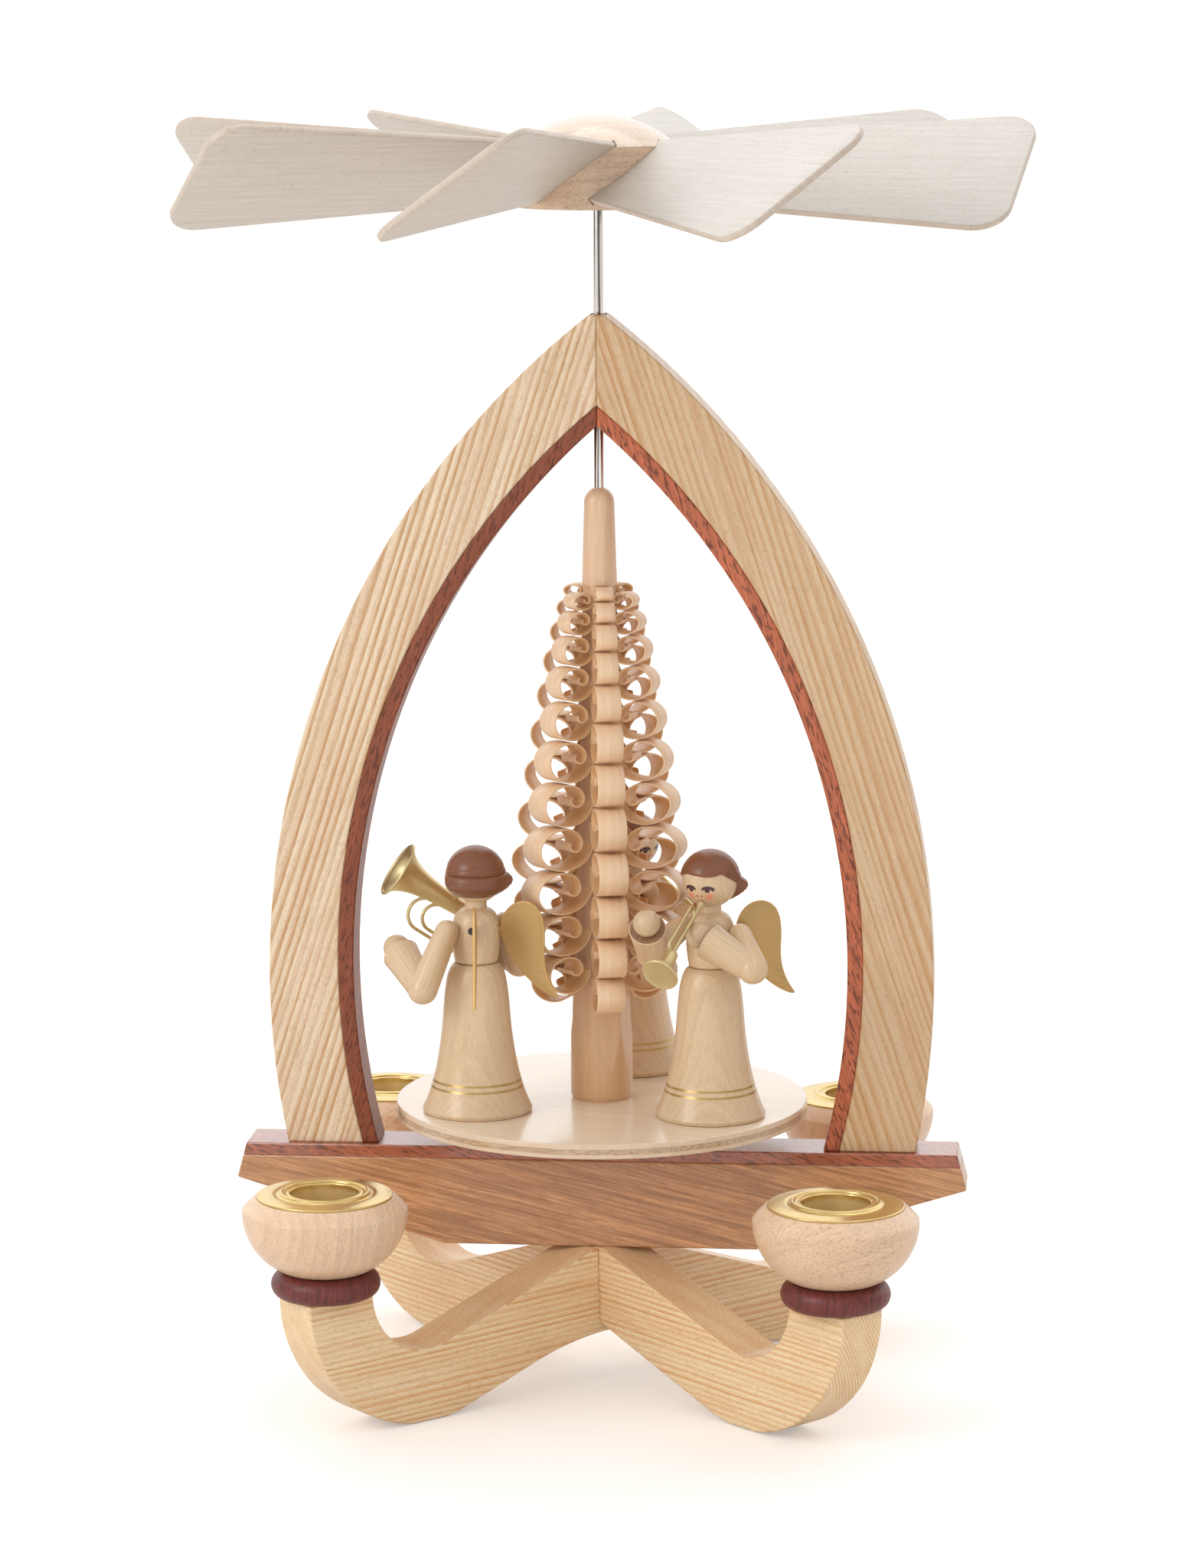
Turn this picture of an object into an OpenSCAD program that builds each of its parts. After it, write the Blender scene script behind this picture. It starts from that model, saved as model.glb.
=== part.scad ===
// Table-top Christmas pyramid: a cross-shaped stand with a pointed arch carries a shaft,
// on which a turntable, a shaved tree, three angels and an eight-blade impeller turn together.
// Millimetres, +Z up, origin on the shaft axis at the surface that the feet stand on.
// The beam and the arch lie along X.

/* [Base cross] */
// Distance from the shaft axis to the end of an arm
arm_reach = 80.8; // [70:0.1:100]
// Height of the base boards
board_h = 30; // [26:0.5:36]
// Thickness of the base boards
board_w = 11.5; // [9:0.5:14]
// Width of the curved band that each arm is cut to
band_w = 16; // [13:0.5:18]
// Length of the sanded flat under each foot
foot_flat = 8.5; // [5:0.5:10]
// Slope of the arms towards the middle, in degrees
arm_slope = 19; // [17:0.5:21]
// Angle between an arm and the beam, in degrees
arm_angle = 43; // [38:1:47]
// Radius that fills the lower board's underside at the crossing
belly_r = 70; // [40:5:90]

/* [Candle holders] */
// Largest radius of a spacer ring
ring_r = 11.45; // [10:0.05:13]
// Thickness of a spacer ring
ring_h = 5.5; // [4:0.5:7]
// Radius of a bowl's foot
bowl_foot_r = 8.6; // [7:0.1:10]
// Largest radius of a bowl
bowl_r = 17.3; // [16:0.1:20]
// Height from a bowl's foot to its largest radius
bowl_belly_h = 12.9; // [12:0.1:15]
// Height of the sloped shoulder above the largest radius
bowl_shoulder_h = 3.4; // [2:0.1:5]
// Radius of the brass flange
flange_r = 14; // [12:0.1:15]
// Radius of the candle bore
candle_r = 7.2; // [6:0.05:8]
// Depth of the candle bore below the flange
candle_depth = 13; // [9:0.5:14]
// Thickness of the pressed brass
brass_t = 0.5; // [0.3:0.05:0.8]
// Radius of the dowel that joins bowl, ring and arm
bowl_dowel_r = 2.5; // [2:0.1:3]
// Depth of the bowl dowel in the arm
bowl_dowel_depth = 10; // [6:1:14]

/* [Beam] */
// Height of the beam with its top strip
beam_h = 21.8; // [19:0.1:25]
// Thickness of the beam
beam_t = 13; // [11.5:0.5:15]
// Half length of the beam's top
beam_half = 77.2; // [74:0.1:90]
// How far the beam's pointed ends stand out past its top
beam_nose = 2.1; // [1:0.1:4]
// Half length of the flat underside
beam_flat = 34; // [28:1:40]
// Height of the pointed ends above the underside
nose_h = 14; // [10:0.5:16]
// Thickness of the dark strip on the beam
strip_t = 2.8; // [2:0.1:4]

/* [Arch] */
// Half width of the arch at its widest place
arch_half = 71.8; // [69:0.1:73]
// Height of that widest place
arch_wide_z = 87.9; // [82:0.1:92]
// Radius of the arch's outer curve
arch_r = 181.8; // [176:0.1:188]
// Width of the light wood where the arch is widest
arch_w = 15.1; // [13:0.1:16]
// Radius of the light wood's inner curve
arch_in_r = 158; // [154:0.1:164]
// Height of the inner curve's widest place above the outer curve's
arch_in_rise = 3.2; // [0:0.1:5]
// Width of the dark strip inside the arch
arch_strip_w = 3.3; // [2.5:0.1:4.5]
// Thickness of the arch
arch_t = 10; // [8:0.5:11]
// Width of the flat at the arch's top
apex_flat = 3.4; // [3.2:0.1:5]
// Radius of the dowels in the arch's legs
leg_dowel_r = 2; // [1.5:0.1:2.5]
// Depth of a leg dowel in the leg, and again in the beam
leg_dowel_depth = 8; // [5:0.5:9]

/* [Shaft and turntable] */
// Radius of the steel shaft
shaft_r = 1; // [0.8:0.1:1.4]
// Radius of the bearing cup in the beam
cup_r = 3; // [2.5:0.1:4]
// Height of the bearing cup
cup_h = 8; // [6:0.5:10]
// Thickness of the bearing cup's floor
cup_floor = 1.5; // [1:0.1:2]
// Length of the point at the shaft's lower end
shaft_point = 2; // [1:0.1:3]
// Radius of the guide bush at the top of the arch
bush_r = 2; // [1.7:0.1:2.4]
// Length of the guide bush
bush_h = 6; // [4:0.5:8]
// Depth of the bush below the arch's top
bush_sink = 0.9; // [0.8:0.1:1.5]
// Radius of the turntable
disc_r = 44.5; // [43:0.1:46]
// Thickness of the turntable
disc_t = 3.2; // [2.5:0.1:4]
// Gap between the beam and the turntable
disc_gap = 7; // [4:0.5:9]

/* [Tree] */
// Radius of the trunk
trunk_r = 6.7; // [6:0.1:7.5]
// Height of the tree above the turntable
tree_h = 132.7; // [125:0.1:138]
// Height of the lowest curl's root above the turntable
curl_low = 20.5; // [18:0.5:26]
// Height of the highest curl's top above the turntable
curl_top = 112; // [100:0.5:116]
// Radius of the smooth spire where it starts
spire_r = 3.75; // [3.4:0.05:4.2]
// Half width of the trunk between two opposite shaved flats at the highest curl
flat_top = 3.1; // [2.8:0.1:3.3]
// Number of curls in a row
curl_count = 12; // [10:1:13]
// Number of rows of curls
curl_rows = 6; // [5:1:6]
// Angle of the first row, in degrees
row_turn = -76; // [-90:1:-60]
// Reach of the top curl from the shaft axis
curl_first = 7.8; // [7:0.1:9]
// Largest reach of a curl
curl_reach = 19.6; // [17:0.1:20]
// Reach of the lowest curl
curl_last = 15.2; // [13:0.1:17]
// Place of the curl that reaches furthest, counted from the top
curl_widest = 9; // [7:1:9]
// Width of the top shaving
shaving_top_w = 3.7; // [3:0.1:4]
// Largest width of a shaving
shaving_w = 6.3; // [5:0.1:6.5]
// Thickness of a shaving
shaving_t = 0.5; // [0.4:0.05:0.7]

/* [Angels] */
// Distance of the angels from the shaft axis
figure_ring = 29.4; // [28.5:0.1:31]
// Radius of a skirt at the hem
hem_r = 11.8; // [10.5:0.1:12.5]
// Height of the waist
waist_h = 32.4; // [29:0.1:34]
// Radius of the waist
waist_r = 4.6; // [4:0.1:5]
// Height from the waist to the neck
torso_h = 11.8; // [11.5:0.1:14]
// Radius of the neck
neck_r = 2.35; // [2:0.05:2.6]
// Radius of the head
head_r = 6; // [5.5:0.1:6.4]
// Thickness of the hair cap
hair_t = 0.45; // [0.3:0.05:0.7]
// Radius of the rolled hair at the back
roll_r = 1.5; // [1:0.1:1.8]
// Radius of an upper arm at the shoulder
arm_r = 2.5; // [2.3:0.1:3]
// Radius of an arm at the elbow
elbow_r = 3.2; // [2.8:0.1:3.4]
// Radius of a sleeve's open end
sleeve_r = 4; // [3.4:0.1:4.4]
// Radius of a ball hand
hand_r = 2.9; // [2.4:0.1:3]
// Reach of a wing from its hole
wing_reach = 12.9; // [11:0.1:14]
// Thickness of a wing
wing_t = 0.7; // [0.6:0.1:1.2]
// Radius of the horn's bell
horn_bell_r = 6.2; // [5:0.1:6.4]
// Radius of the trumpet's bell
trumpet_bell_r = 4; // [3:0.1:4.5]
// Radius of the bent brass wire of the instruments
wire_r = 0.4; // [0.35:0.05:0.5]

/* [Impeller] */
// Radius of the hub
hub_r = 16.6; // [15:0.1:18]
// Height of the hub's underside
hub_z = 253.8; // [250:0.1:262]
// Height of the hub's straight side
hub_side = 13; // [12.5:0.1:15]
// Height of the hub's dome
dome_h = 6.4; // [5:0.1:8]
// Number of blades
blade_count = 8; // [6:1:8]
// Radius to the tip of a blade
blade_reach = 92; // [80:0.1:96]
// Width of a blade at its tip
blade_tip_w = 39; // [34:0.1:42]
// Width of a blade at the hub
blade_root_w = 19.6; // [16:0.1:20]
// Thickness of a blade
blade_t = 1.5; // [1:0.1:2]
// Pitch of the blades from level, in degrees
blade_pitch = 35; // [28:1:36]
// Angle of the first blade, in degrees
blade_turn = -13.5; // [-22:0.5:0]
// Radius of a blade's outer corners
blade_corner_r = 7; // [3:0.5:8]
// Depth of the hub's slots
slot_depth = 7; // [5:0.5:9]

/* [Hidden] */

// Fine curves on round pieces
$fn = 96;
// Room between pieces that are glued, pushed or dropped into each other
glue_gap = 0.03;
// Room between the turning shaft and what guides it
run_gap = 0.05;
// Room under the shaft's point
point_gap = 0.05;
// Larger than the whole object, for cuts
far = 400;

// Colours
ash = [0.86, 0.73, 0.53];
mahogany = [0.47, 0.25, 0.17];
oak = [0.62, 0.45, 0.3];
beech = [0.82, 0.66, 0.49];
burgundy = [0.35, 0.1, 0.1];
brass = [0.83, 0.72, 0.42];
steel = [0.65, 0.65, 0.66];
glass = [0.8, 0.88, 0.86];
birch = [0.91, 0.86, 0.77];
lime_wood = [0.87, 0.7, 0.53];
maple = [0.9, 0.79, 0.6];
chestnut = [0.46, 0.26, 0.18];
gold = [0.76, 0.62, 0.34];

// Base cross: a band between two arcs about (curl_u, board_h), and its straight run to the middle
curl_out_r = sqrt(pow(board_h, 2) + pow(foot_flat / 2, 2));
curl_in_r = curl_out_r - band_w;
curl_u = arm_reach - curl_out_r;
slope_dir = [-sin(arm_slope), -cos(arm_slope)];
top_touch = [curl_u, board_h] + curl_in_r * slope_dir;
under_touch = [curl_u, board_h] + curl_out_r * slope_dir;
top_flat_u = top_touch[0] - (board_h - top_touch[1]) / tan(arm_slope);
under_peak = under_touch[1] + under_touch[0] * tan(arm_slope);
belly_z = under_peak - belly_r / cos(arm_slope);
belly_touch = belly_r * sin(arm_slope);
belly_touch_z = belly_z + belly_r * cos(arm_slope);
lap_z = (board_h + belly_z + belly_r) / 2;
lap_angle = 2 * arm_angle;
lower_turn = arm_angle;
upper_turn = -arm_angle;

// Candle holders, each centred on an arm's end
holder_u = curl_u + (curl_in_r + curl_out_r) / 2;
holder_turns = [180 + arm_angle, -arm_angle, arm_angle, 180 - arm_angle];
bowl_z = board_h + ring_h;
belly_z_bowl = bowl_z + bowl_belly_h;
rim_z = belly_z_bowl + bowl_shoulder_h;
bowl_arc_r = (pow(bowl_r - bowl_foot_r, 2) + pow(bowl_belly_h, 2)) / (2 * (bowl_r - bowl_foot_r));
cup_out_r = candle_r + brass_t;
cup_floor_z = rim_z - candle_depth;
bowl_lip = 0.3;
dowel_roof = 1;
bowl_dowel_top = cup_floor_z - brass_t - dowel_roof;

// Beam and arch
beam_z = board_h;
beam_top = beam_z + beam_h;
strip_z = beam_top - strip_t;
arch_x = arch_r - arch_half;
arch_in_x = arch_in_r - arch_half + arch_w;
arch_in_z = arch_wide_z + arch_in_rise;
arch_strip_r = arch_in_r - arch_strip_w;
apex_z = arch_wide_z + sqrt(pow(arch_r, 2) - pow(arch_x + apex_flat / 2, 2));
leg_out_x = sqrt(pow(arch_r, 2) - pow(arch_wide_z - beam_top, 2)) - arch_x;
leg_in_x = sqrt(pow(arch_in_r, 2) - pow(arch_in_z - beam_top, 2)) - arch_in_x;
leg_x = (leg_out_x + leg_in_x) / 2;
bush_z = apex_z - bush_sink - bush_h;
shaft_way_r = 1.5 * shaft_r;
screw_r = 1.6;
screw_head_r = 3.4;
screw_head_h = 2;
screw_bite = 11;
screw_sink = 1;
screw_low = belly_z + belly_r + screw_sink;

// Shaft, turntable and tree
cup_z = beam_top - cup_h;
shaft_low = cup_z + cup_floor + point_gap;
shaft_cover = 2;
shaft_top = hub_z + hub_side - shaft_cover;
disc_z = beam_top + disc_gap;
table_z = disc_z + disc_t;
flat_tilt = atan((trunk_r - flat_top) / curl_top);
spire_end_r = 0.86 * spire_r;
// The curls of a row lie closer towards its ends, like points spaced evenly round part of a circle
spread_from = 15;
spread_to = 127;
// A shaving winds through this angle, and loses this share of its radius
curl_sweep = 520;
curl_wind = 0.8;
curl_gap = 0.15;

// Angels: [place round the turntable, facing angle, wing angle from the back, trumpet turn], hand-set
left_place = [-149.6, 131.6, 36, 0];
right_place = [-32.4, -117.6, 45, 6];
rear_place = [82, -35, 45, -2];
neck_z = waist_h + torso_h;
neck_show = 1;
neck_bite = 1.2;
head_z = neck_z + neck_show + head_r;
neck_top = neck_z + neck_show + neck_bite;
mouth_drop = 0.75 * head_r;
hip_r = 1.63 * waist_r;
hip_z = 0.556 * waist_h;
hem_edge = 0.3;
waist_groove = 0.25;
torso_r = 1.13 * waist_r;
shoulder_z = neck_z - 0.37 * torso_h;
shoulder_sink = 0.2;
shoulder_y = torso_r + arm_r - shoulder_sink;
sleeve_start = 0.94;
hand_out = 0.75;
wing_hole_z = waist_h + 0.64 * torso_h;
wing_hole_r = 0.9;
wing_hole_depth = 1.5;
wing_off = 0.9;
wing_tab = [2.4, 1];
wing_tab_bite = 1.8;
face_gap = 0.4;
lips = [sqrt(pow(head_r, 2) - pow(mouth_drop, 2)) + face_gap, 0, head_z - mouth_drop];

// Hair: the cap's lower edge tilts from the brow to the nape, and a roll goes round the back
hair_fall = 24;
brow_z = 0.27 * head_r;
brow_rise = 0.4;
roll_z = -0.37 * head_r;
roll_out = 0.2;
roll_sweep = 190;

// Horn and trumpet, in an angel's own frame: x forward, y to its left, z up from the turntable
horn_mid = [1.67 * head_r, 0, neck_z - 0.05 * head_r];
horn_dir = [0.355, 0.747, 0.562];
horn_len = 21.5;
horn_tail = 8;
horn_tube_r = 1.6;
bell_lip = 0.35;
bell_bore = 0.4;
// Each wire bow of the horn as [radius, start, end], along the tube from its tail
horn_bows = [[3.6, 2.6, 11], [2.95, 3.5, 8.5]];
trumpet_drop = 30.8;
trumpet_len = 23.3;
tube_r = 0.55;
mouth_r = 0.9;
mouth_len = 1.6;
throat_r = 1.4;
bell_len = 7.5;
bell_edge = 0.3;
loop_r = 1.4;
loop_from = 3.5;
loop_to = trumpet_len - bell_len - 0.4 * loop_r;

// Arms as [shoulder, elbow, sleeve end], in an angel's own frame
shoulder_left = [0, shoulder_y, shoulder_z];
shoulder_right = [0, -shoulder_y, shoulder_z];
bent_elbow = joint_at(0.8, 1.89, 0.161);
bent_end = joint_at(1, 0.54, 0.607);
reach_elbow = joint_at(0.75, 1.52, 0.203);
reach_end = joint_at(1.6, 1.09, 0.78);
near_elbow = joint_at(-0.2, 1.2, 0.017);
near_end = joint_at(0.96, 0.51, 0.6);
horn_elbow = joint_at(-0.13, 1.93, -0.347);
horn_end = joint_at(1.33, 1.69, 0.136);
tail_elbow = joint_at(-0.13, -1.39, -0.102);
tail_end = joint_at(0.83, -1.15, 0.153);
left_angel_poses = [[shoulder_left, horn_elbow, horn_end], [shoulder_right, tail_elbow, tail_end]];
right_angel_poses = [[shoulder_left, bent_elbow, bent_end],
  [shoulder_right, flip_y(reach_elbow), flip_y(reach_end)]];
rear_angel_poses = [[shoulder_left, reach_elbow, reach_end],
  [shoulder_right, flip_y(near_elbow), flip_y(near_end)]];

// Impeller
blade_z = hub_z + 0.6 * hub_side;
dome_r = (pow(hub_r, 2) + pow(dome_h, 2)) / (2 * dome_h);
root_x = hub_r - slot_depth;
root_half = blade_root_w / 2;
blade_taper = atan((blade_tip_w / 2 - root_half) / (blade_reach - root_x));
slot_room = 0.15;

// Points and curves
function flip_y(p) = [p[0], -p[1], p[2]];
function joint_at(x, y, z) = [x * shoulder_y, y * shoulder_y, waist_h + z * torso_h];
function bezier(p, t) = pow(1 - t, 3) * p[0] + 3 * pow(1 - t, 2) * t * p[1]
  + 3 * (1 - t) * pow(t, 2) * p[2] + pow(t, 3) * p[3];
function curve(p, steps) = [for (i = [0:steps]) bezier(p, i / steps)];
function arc(c, r, a, b, steps) = [for (i = [0:steps])
  let (t = a + (b - a) * i / steps) c + r * [cos(t), sin(t)]];

// Turns +Z onto a direction and moves to a point
module aim(from, to) {
  d = to - from;
  translate(from)
    rotate([0, acos(d[2] / norm(d)), atan2(d[1], d[0])])
      children();
}

// Stands a drawing in x and z upright, with its thickness shared on both sides of y = 0
module upright(t) {
  rotate([90, 0, 0])
    linear_extrude(t, center = true)
      children();
}

// The hollow above one arm, between its slope and its rising end
module valley_outline() {
  translate([curl_u, board_h])
    circle(curl_in_r);
  polygon([top_touch, [curl_u, board_h], [curl_u, far], [top_flat_u, far], [top_flat_u, board_h]]);
}

// A base board with two arms, in u and z; the lower board is filled by an arc under the crossing
module board_outline(filled) {
  underside = filled ? [[-belly_touch, belly_touch_z], [belly_touch, belly_touch_z]] : [[0, under_peak]];
  intersection() {
    difference() {
      union() {
        for (side = [-1, 1])
          translate([side * curl_u, board_h])
            circle(curl_out_r);
        polygon(concat([[-curl_u, board_h], [-under_touch[0], under_touch[1]]], underside,
          [under_touch, [curl_u, board_h]]));
      }
      valley_outline();
      mirror([1, 0])
        valley_outline();
      if (filled)
        translate([0, belly_z])
          circle(belly_r);
    }
    translate([-far / 2, 0])
      square([far, board_h]);
  }
}

// Drills the centre screw's hole and the four dowel holes of one board
module board_holes() {
  translate([0, 0, -1])
    cylinder(h = board_h + 2, r = screw_r + glue_gap);
  for (side = [-1, 1])
    translate([side * holder_u, 0, board_h - bowl_dowel_depth])
      cylinder(h = far, r = bowl_dowel_r + glue_gap);
}

// The other board's place at the crossing, above or below the lap
module lap_cut(z, turn) {
  rotate(turn)
    translate([-far / 2, -board_w / 2 - glue_gap, z])
      cube([far, board_w + 2 * glue_gap, board_h]);
}

module base_board_lower() {
  color(ash)
    rotate(lower_turn)
      difference() {
        upright(board_w)
          board_outline(true);
        intersection() {
          lap_cut(lap_z, -lap_angle);
          cube([4 * board_w, 4 * board_w, far], center = true);
        }
        board_holes();
        translate([0, 0, -1])
          cylinder(h = screw_low + screw_head_h + 1, r = screw_head_r + glue_gap);
      }
}

module base_board_upper() {
  color(ash)
    rotate(upper_turn)
      difference() {
        upright(board_w)
          board_outline(false);
        intersection() {
          lap_cut(lap_z - board_h, lap_angle);
          cube([4 * board_w, 4 * board_w, far], center = true);
        }
        board_holes();
      }
}

// Places a candle holder's piece on arm end i
module on_arm(i) {
  rotate(holder_turns[i - 1])
    translate([holder_u, 0, 0])
      children();
}

module spacer_ring(i) {
  edge_r = ring_h / 2;
  color(burgundy)
    on_arm(i)
      rotate_extrude()
        difference() {
          union() {
            translate([0, board_h])
              square([ring_r - edge_r, ring_h]);
            translate([ring_r - edge_r, board_h + edge_r])
              circle(edge_r);
          }
          translate([-far, 0])
            square([far + bowl_dowel_r + glue_gap, far]);
        }
}

module candle_bowl(i) {
  color(beech)
    on_arm(i)
      difference() {
        rotate_extrude()
          union() {
            intersection() {
              translate([bowl_r - bowl_arc_r, belly_z_bowl])
                circle(bowl_arc_r);
              translate([0, bowl_z])
                square([far, bowl_belly_h]);
            }
            polygon([[0, bowl_z], [bowl_foot_r, bowl_z], [bowl_foot_r, belly_z_bowl], [0, belly_z_bowl]]);
            polygon([[0, belly_z_bowl], [bowl_r, belly_z_bowl], [flange_r + bowl_lip, rim_z - brass_t],
              [0, rim_z - brass_t]]);
          }
        translate([0, 0, cup_floor_z - brass_t])
          cylinder(h = far, r = cup_out_r + glue_gap);
        translate([0, 0, bowl_z - 1])
          cylinder(h = bowl_dowel_top - bowl_z + 1 + glue_gap, r = bowl_dowel_r + glue_gap);
      }
}

// A flat flange with a turned-down rim and a stepped bead round the cup's mouth
module candle_insert(i) {
  bead_w = 1.6;
  bead_h = 0.5;
  edge_w = 0.25;
  under = rim_z - brass_t;
  top = rim_z + brass_t / 2;
  color(brass)
    on_arm(i)
      difference() {
        rotate_extrude()
          polygon([[0, cup_floor_z - brass_t], [cup_out_r, cup_floor_z - brass_t], [cup_out_r, under],
            [flange_r, under], [flange_r + edge_w, under + edge_w], [flange_r, under + 2 * edge_w],
            [cup_out_r + 2 * bead_w, top], [cup_out_r + bead_w, top],
            [cup_out_r + bead_w - bead_h, top + bead_h], [0, top + bead_h]]);
        translate([0, 0, cup_floor_z])
          cylinder(h = far, r = candle_r);
      }
}

module bowl_dowels() {
  color(beech)
    for (i = [1:4])
      on_arm(i)
        translate([0, 0, board_h - bowl_dowel_depth])
          cylinder(h = bowl_dowel_top - board_h + bowl_dowel_depth, r = bowl_dowel_r);
}

// The beam's outline with its strip, in x and z
module beam_outline() {
  polygon([[-beam_flat, beam_z], [beam_flat, beam_z], [beam_half + beam_nose, beam_z + nose_h],
    [beam_half, beam_top], [-beam_half, beam_top], [-beam_half - beam_nose, beam_z + nose_h]]);
}

// Holes that go down into the beam: bearing cup, screw and leg dowels
module beam_holes() {
  translate([0, 0, cup_z])
    cylinder(h = far, r = cup_r + glue_gap);
  translate([0, 0, beam_z - 1])
    cylinder(h = screw_bite + 1, r = screw_r + glue_gap);
  for (side = [-1, 1])
    translate([side * leg_x, 0, beam_top - leg_dowel_depth])
      cylinder(h = far, r = leg_dowel_r + glue_gap);
}

module cross_beam() {
  color(oak)
    difference() {
      intersection() {
        upright(beam_t)
          beam_outline();
        translate([-far / 2, -far / 2, 0])
          cube([far, far, strip_z]);
      }
      beam_holes();
    }
}

module beam_top_strip() {
  color(mahogany)
    difference() {
      intersection() {
        upright(beam_t)
          beam_outline();
        translate([-far / 2, -far / 2, strip_z])
          cube([far, far, far]);
      }
      beam_holes();
    }
}

// Stands the right half of an arch's outline on the beam, with the ways for shaft, bush and leg dowel
module arch_half_of() {
  difference() {
    upright(arch_t)
      intersection() {
        children();
        translate([0, beam_top])
          square([far, apex_z - beam_top]);
      }
    translate([0, 0, beam_top])
      cylinder(h = far, r = shaft_way_r);
    translate([0, 0, bush_z])
      cylinder(h = bush_h + glue_gap, r = bush_r + glue_gap);
    translate([leg_x, 0, beam_top - 1])
      cylinder(h = leg_dowel_depth + 1, r = leg_dowel_r + glue_gap);
  }
}

module inner_curve(r) {
  translate([-arch_in_x, arch_in_z])
    circle(r, $fn = 240);
}

module arch_light() {
  color(ash)
    arch_half_of()
      difference() {
        translate([-arch_x, arch_wide_z])
          circle(arch_r, $fn = 240);
        inner_curve(arch_in_r);
      }
}

module arch_dark() {
  color(mahogany)
    arch_half_of()
      difference() {
        inner_curve(arch_in_r);
        inner_curve(arch_strip_r);
      }
}

module arch_right() {
  arch_light();
}

module arch_left() {
  mirror([1, 0, 0])
    arch_light();
}

module arch_strip_right() {
  arch_dark();
}

module arch_strip_left() {
  mirror([1, 0, 0])
    arch_dark();
}

module leg_dowels() {
  color(beech)
    for (side = [-1, 1])
      translate([side * leg_x, 0, beam_top - leg_dowel_depth])
        cylinder(h = 2 * leg_dowel_depth, r = leg_dowel_r);
}

module beam_screw() {
  color(steel) {
    translate([0, 0, screw_low])
      cylinder(h = screw_head_h, r = screw_head_r);
    translate([0, 0, screw_low + screw_head_h])
      cylinder(h = beam_z + screw_bite - screw_low - screw_head_h, r = screw_r);
  }
}

module bearing_cup() {
  color(glass)
    translate([0, 0, cup_z])
      difference() {
        cylinder(h = cup_h, r = cup_r);
        translate([0, 0, cup_floor])
          cylinder(h = cup_h, r = shaft_r + run_gap);
      }
}

module guide_bush() {
  color(brass)
    translate([0, 0, bush_z])
      difference() {
        cylinder(h = bush_h, r = bush_r);
        translate([0, 0, -1])
          cylinder(h = bush_h + 2, r = shaft_r + run_gap);
      }
}

module shaft() {
  color(steel)
    rotate_extrude()
      polygon([[0, shaft_low], [shaft_r, shaft_low + shaft_point], [shaft_r, shaft_top], [0, shaft_top]]);
}

// A hole that the shaft is glued into
module shaft_hole() {
  cylinder(h = far, r = shaft_r + glue_gap);
}

module turntable() {
  color(birch)
    difference() {
      translate([0, 0, disc_z])
        cylinder(h = disc_t, r = disc_r);
      shaft_hole();
    }
}

// Curl j of a row, counted from 0 at the top: the height of its upper edge, its reach and its width
function curl_edge(j) = curl_top - (curl_top - curl_low)
  * (cos(spread_from) - cos(spread_from + (spread_to - spread_from) * j / curl_count))
  / (cos(spread_from) - cos(spread_to));
function reach_at(j) = j < curl_widest - 1
  ? curl_first + (curl_reach - curl_first) * j / (curl_widest - 1)
  : curl_reach - (curl_reach - curl_last) * pow((j + 1 - curl_widest) / (curl_count - curl_widest), 2);
function width_at(j) = shaving_top_w + (shaving_w - shaving_top_w) * min(1, j / (curl_widest - 2));
function flat_at(h) = trunk_r - (trunk_r - flat_top) * h / curl_top;

// A shaving: it runs down off the trunk's flat, out, up and over, and winds inwards
function wind_at(t) = 1 - curl_wind * pow((t - 180) / curl_sweep, 2);
function curl_line(out, high, steps) = [for (i = [0:steps])
  let (t = 180 + curl_sweep * i / steps)
  [out * (1 + wind_at(t) * cos(t)), high * wind_at(t) * sin(t)]];

// Gives a line of points a thickness
function thick(line, t) = let (n = len(line) - 1, side = [for (i = [0:n])
  let (d = line[min(i + 1, n)] - line[max(i - 1, 0)]) [-d[1], d[0]] / norm(d)])
  concat([for (i = [0:n]) line[i] + side[i] * t / 2], [for (i = [n:-1:0]) line[i] - side[i] * t / 2]);

module curl(j) {
  low = curl_edge(j + 1);
  high = (curl_edge(j) - low - shaving_t - curl_gap) / (wind_at(270) + wind_at(450));
  mid = low + (shaving_t + curl_gap) / 2 + high * wind_at(270);
  root = flat_at(mid) - shaving_t;
  out = (reach_at(j) - root - shaving_t / 2) / (1 + wind_at(360));
  translate([root, 0, mid])
    rotate([90, 0, 0])
      linear_extrude(width_at(j), center = true)
        polygon(thick(curl_line(out, high, 18), shaving_t));
}

// Every second row has its curls half a place lower
module curl_row(k) {
  shift = k % 2 / 2;
  rotate(row_turn + 360 * k / curl_rows)
    for (j = [0:curl_count - 1 - ceil(shift)])
      curl(j + shift);
}

module shaved_tree() {
  spire = concat([[0, 0], [trunk_r, 0], [trunk_r, curl_low]],
    [[spire_r, curl_top], [spire_end_r, tree_h - spire_end_r]],
    arc([0, tree_h - spire_end_r], spire_end_r, 15, 90, 5));
  color(lime_wood)
    translate([0, 0, table_z])
      difference() {
        union() {
          difference() {
            rotate_extrude()
              polygon(spire);
            for (k = [0:curl_rows - 1])
              rotate(row_turn + 360 * k / curl_rows)
                translate([trunk_r, 0, 0])
                  rotate([0, -flat_tilt, 0])
                    translate([0, -trunk_r, 0])
                      cube([far, 2 * trunk_r, curl_top / cos(flat_tilt)]);
          }
          for (k = [0:curl_rows - 1])
            curl_row(k);
        }
        translate([0, 0, -table_z])
          shaft_hole();
      }
}

// Places an angel's piece on the turntable
module on_table(place) {
  rotate(place[0])
    translate([figure_ring, 0, table_z])
      rotate(place[1] - place[0])
        children();
}

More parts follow.
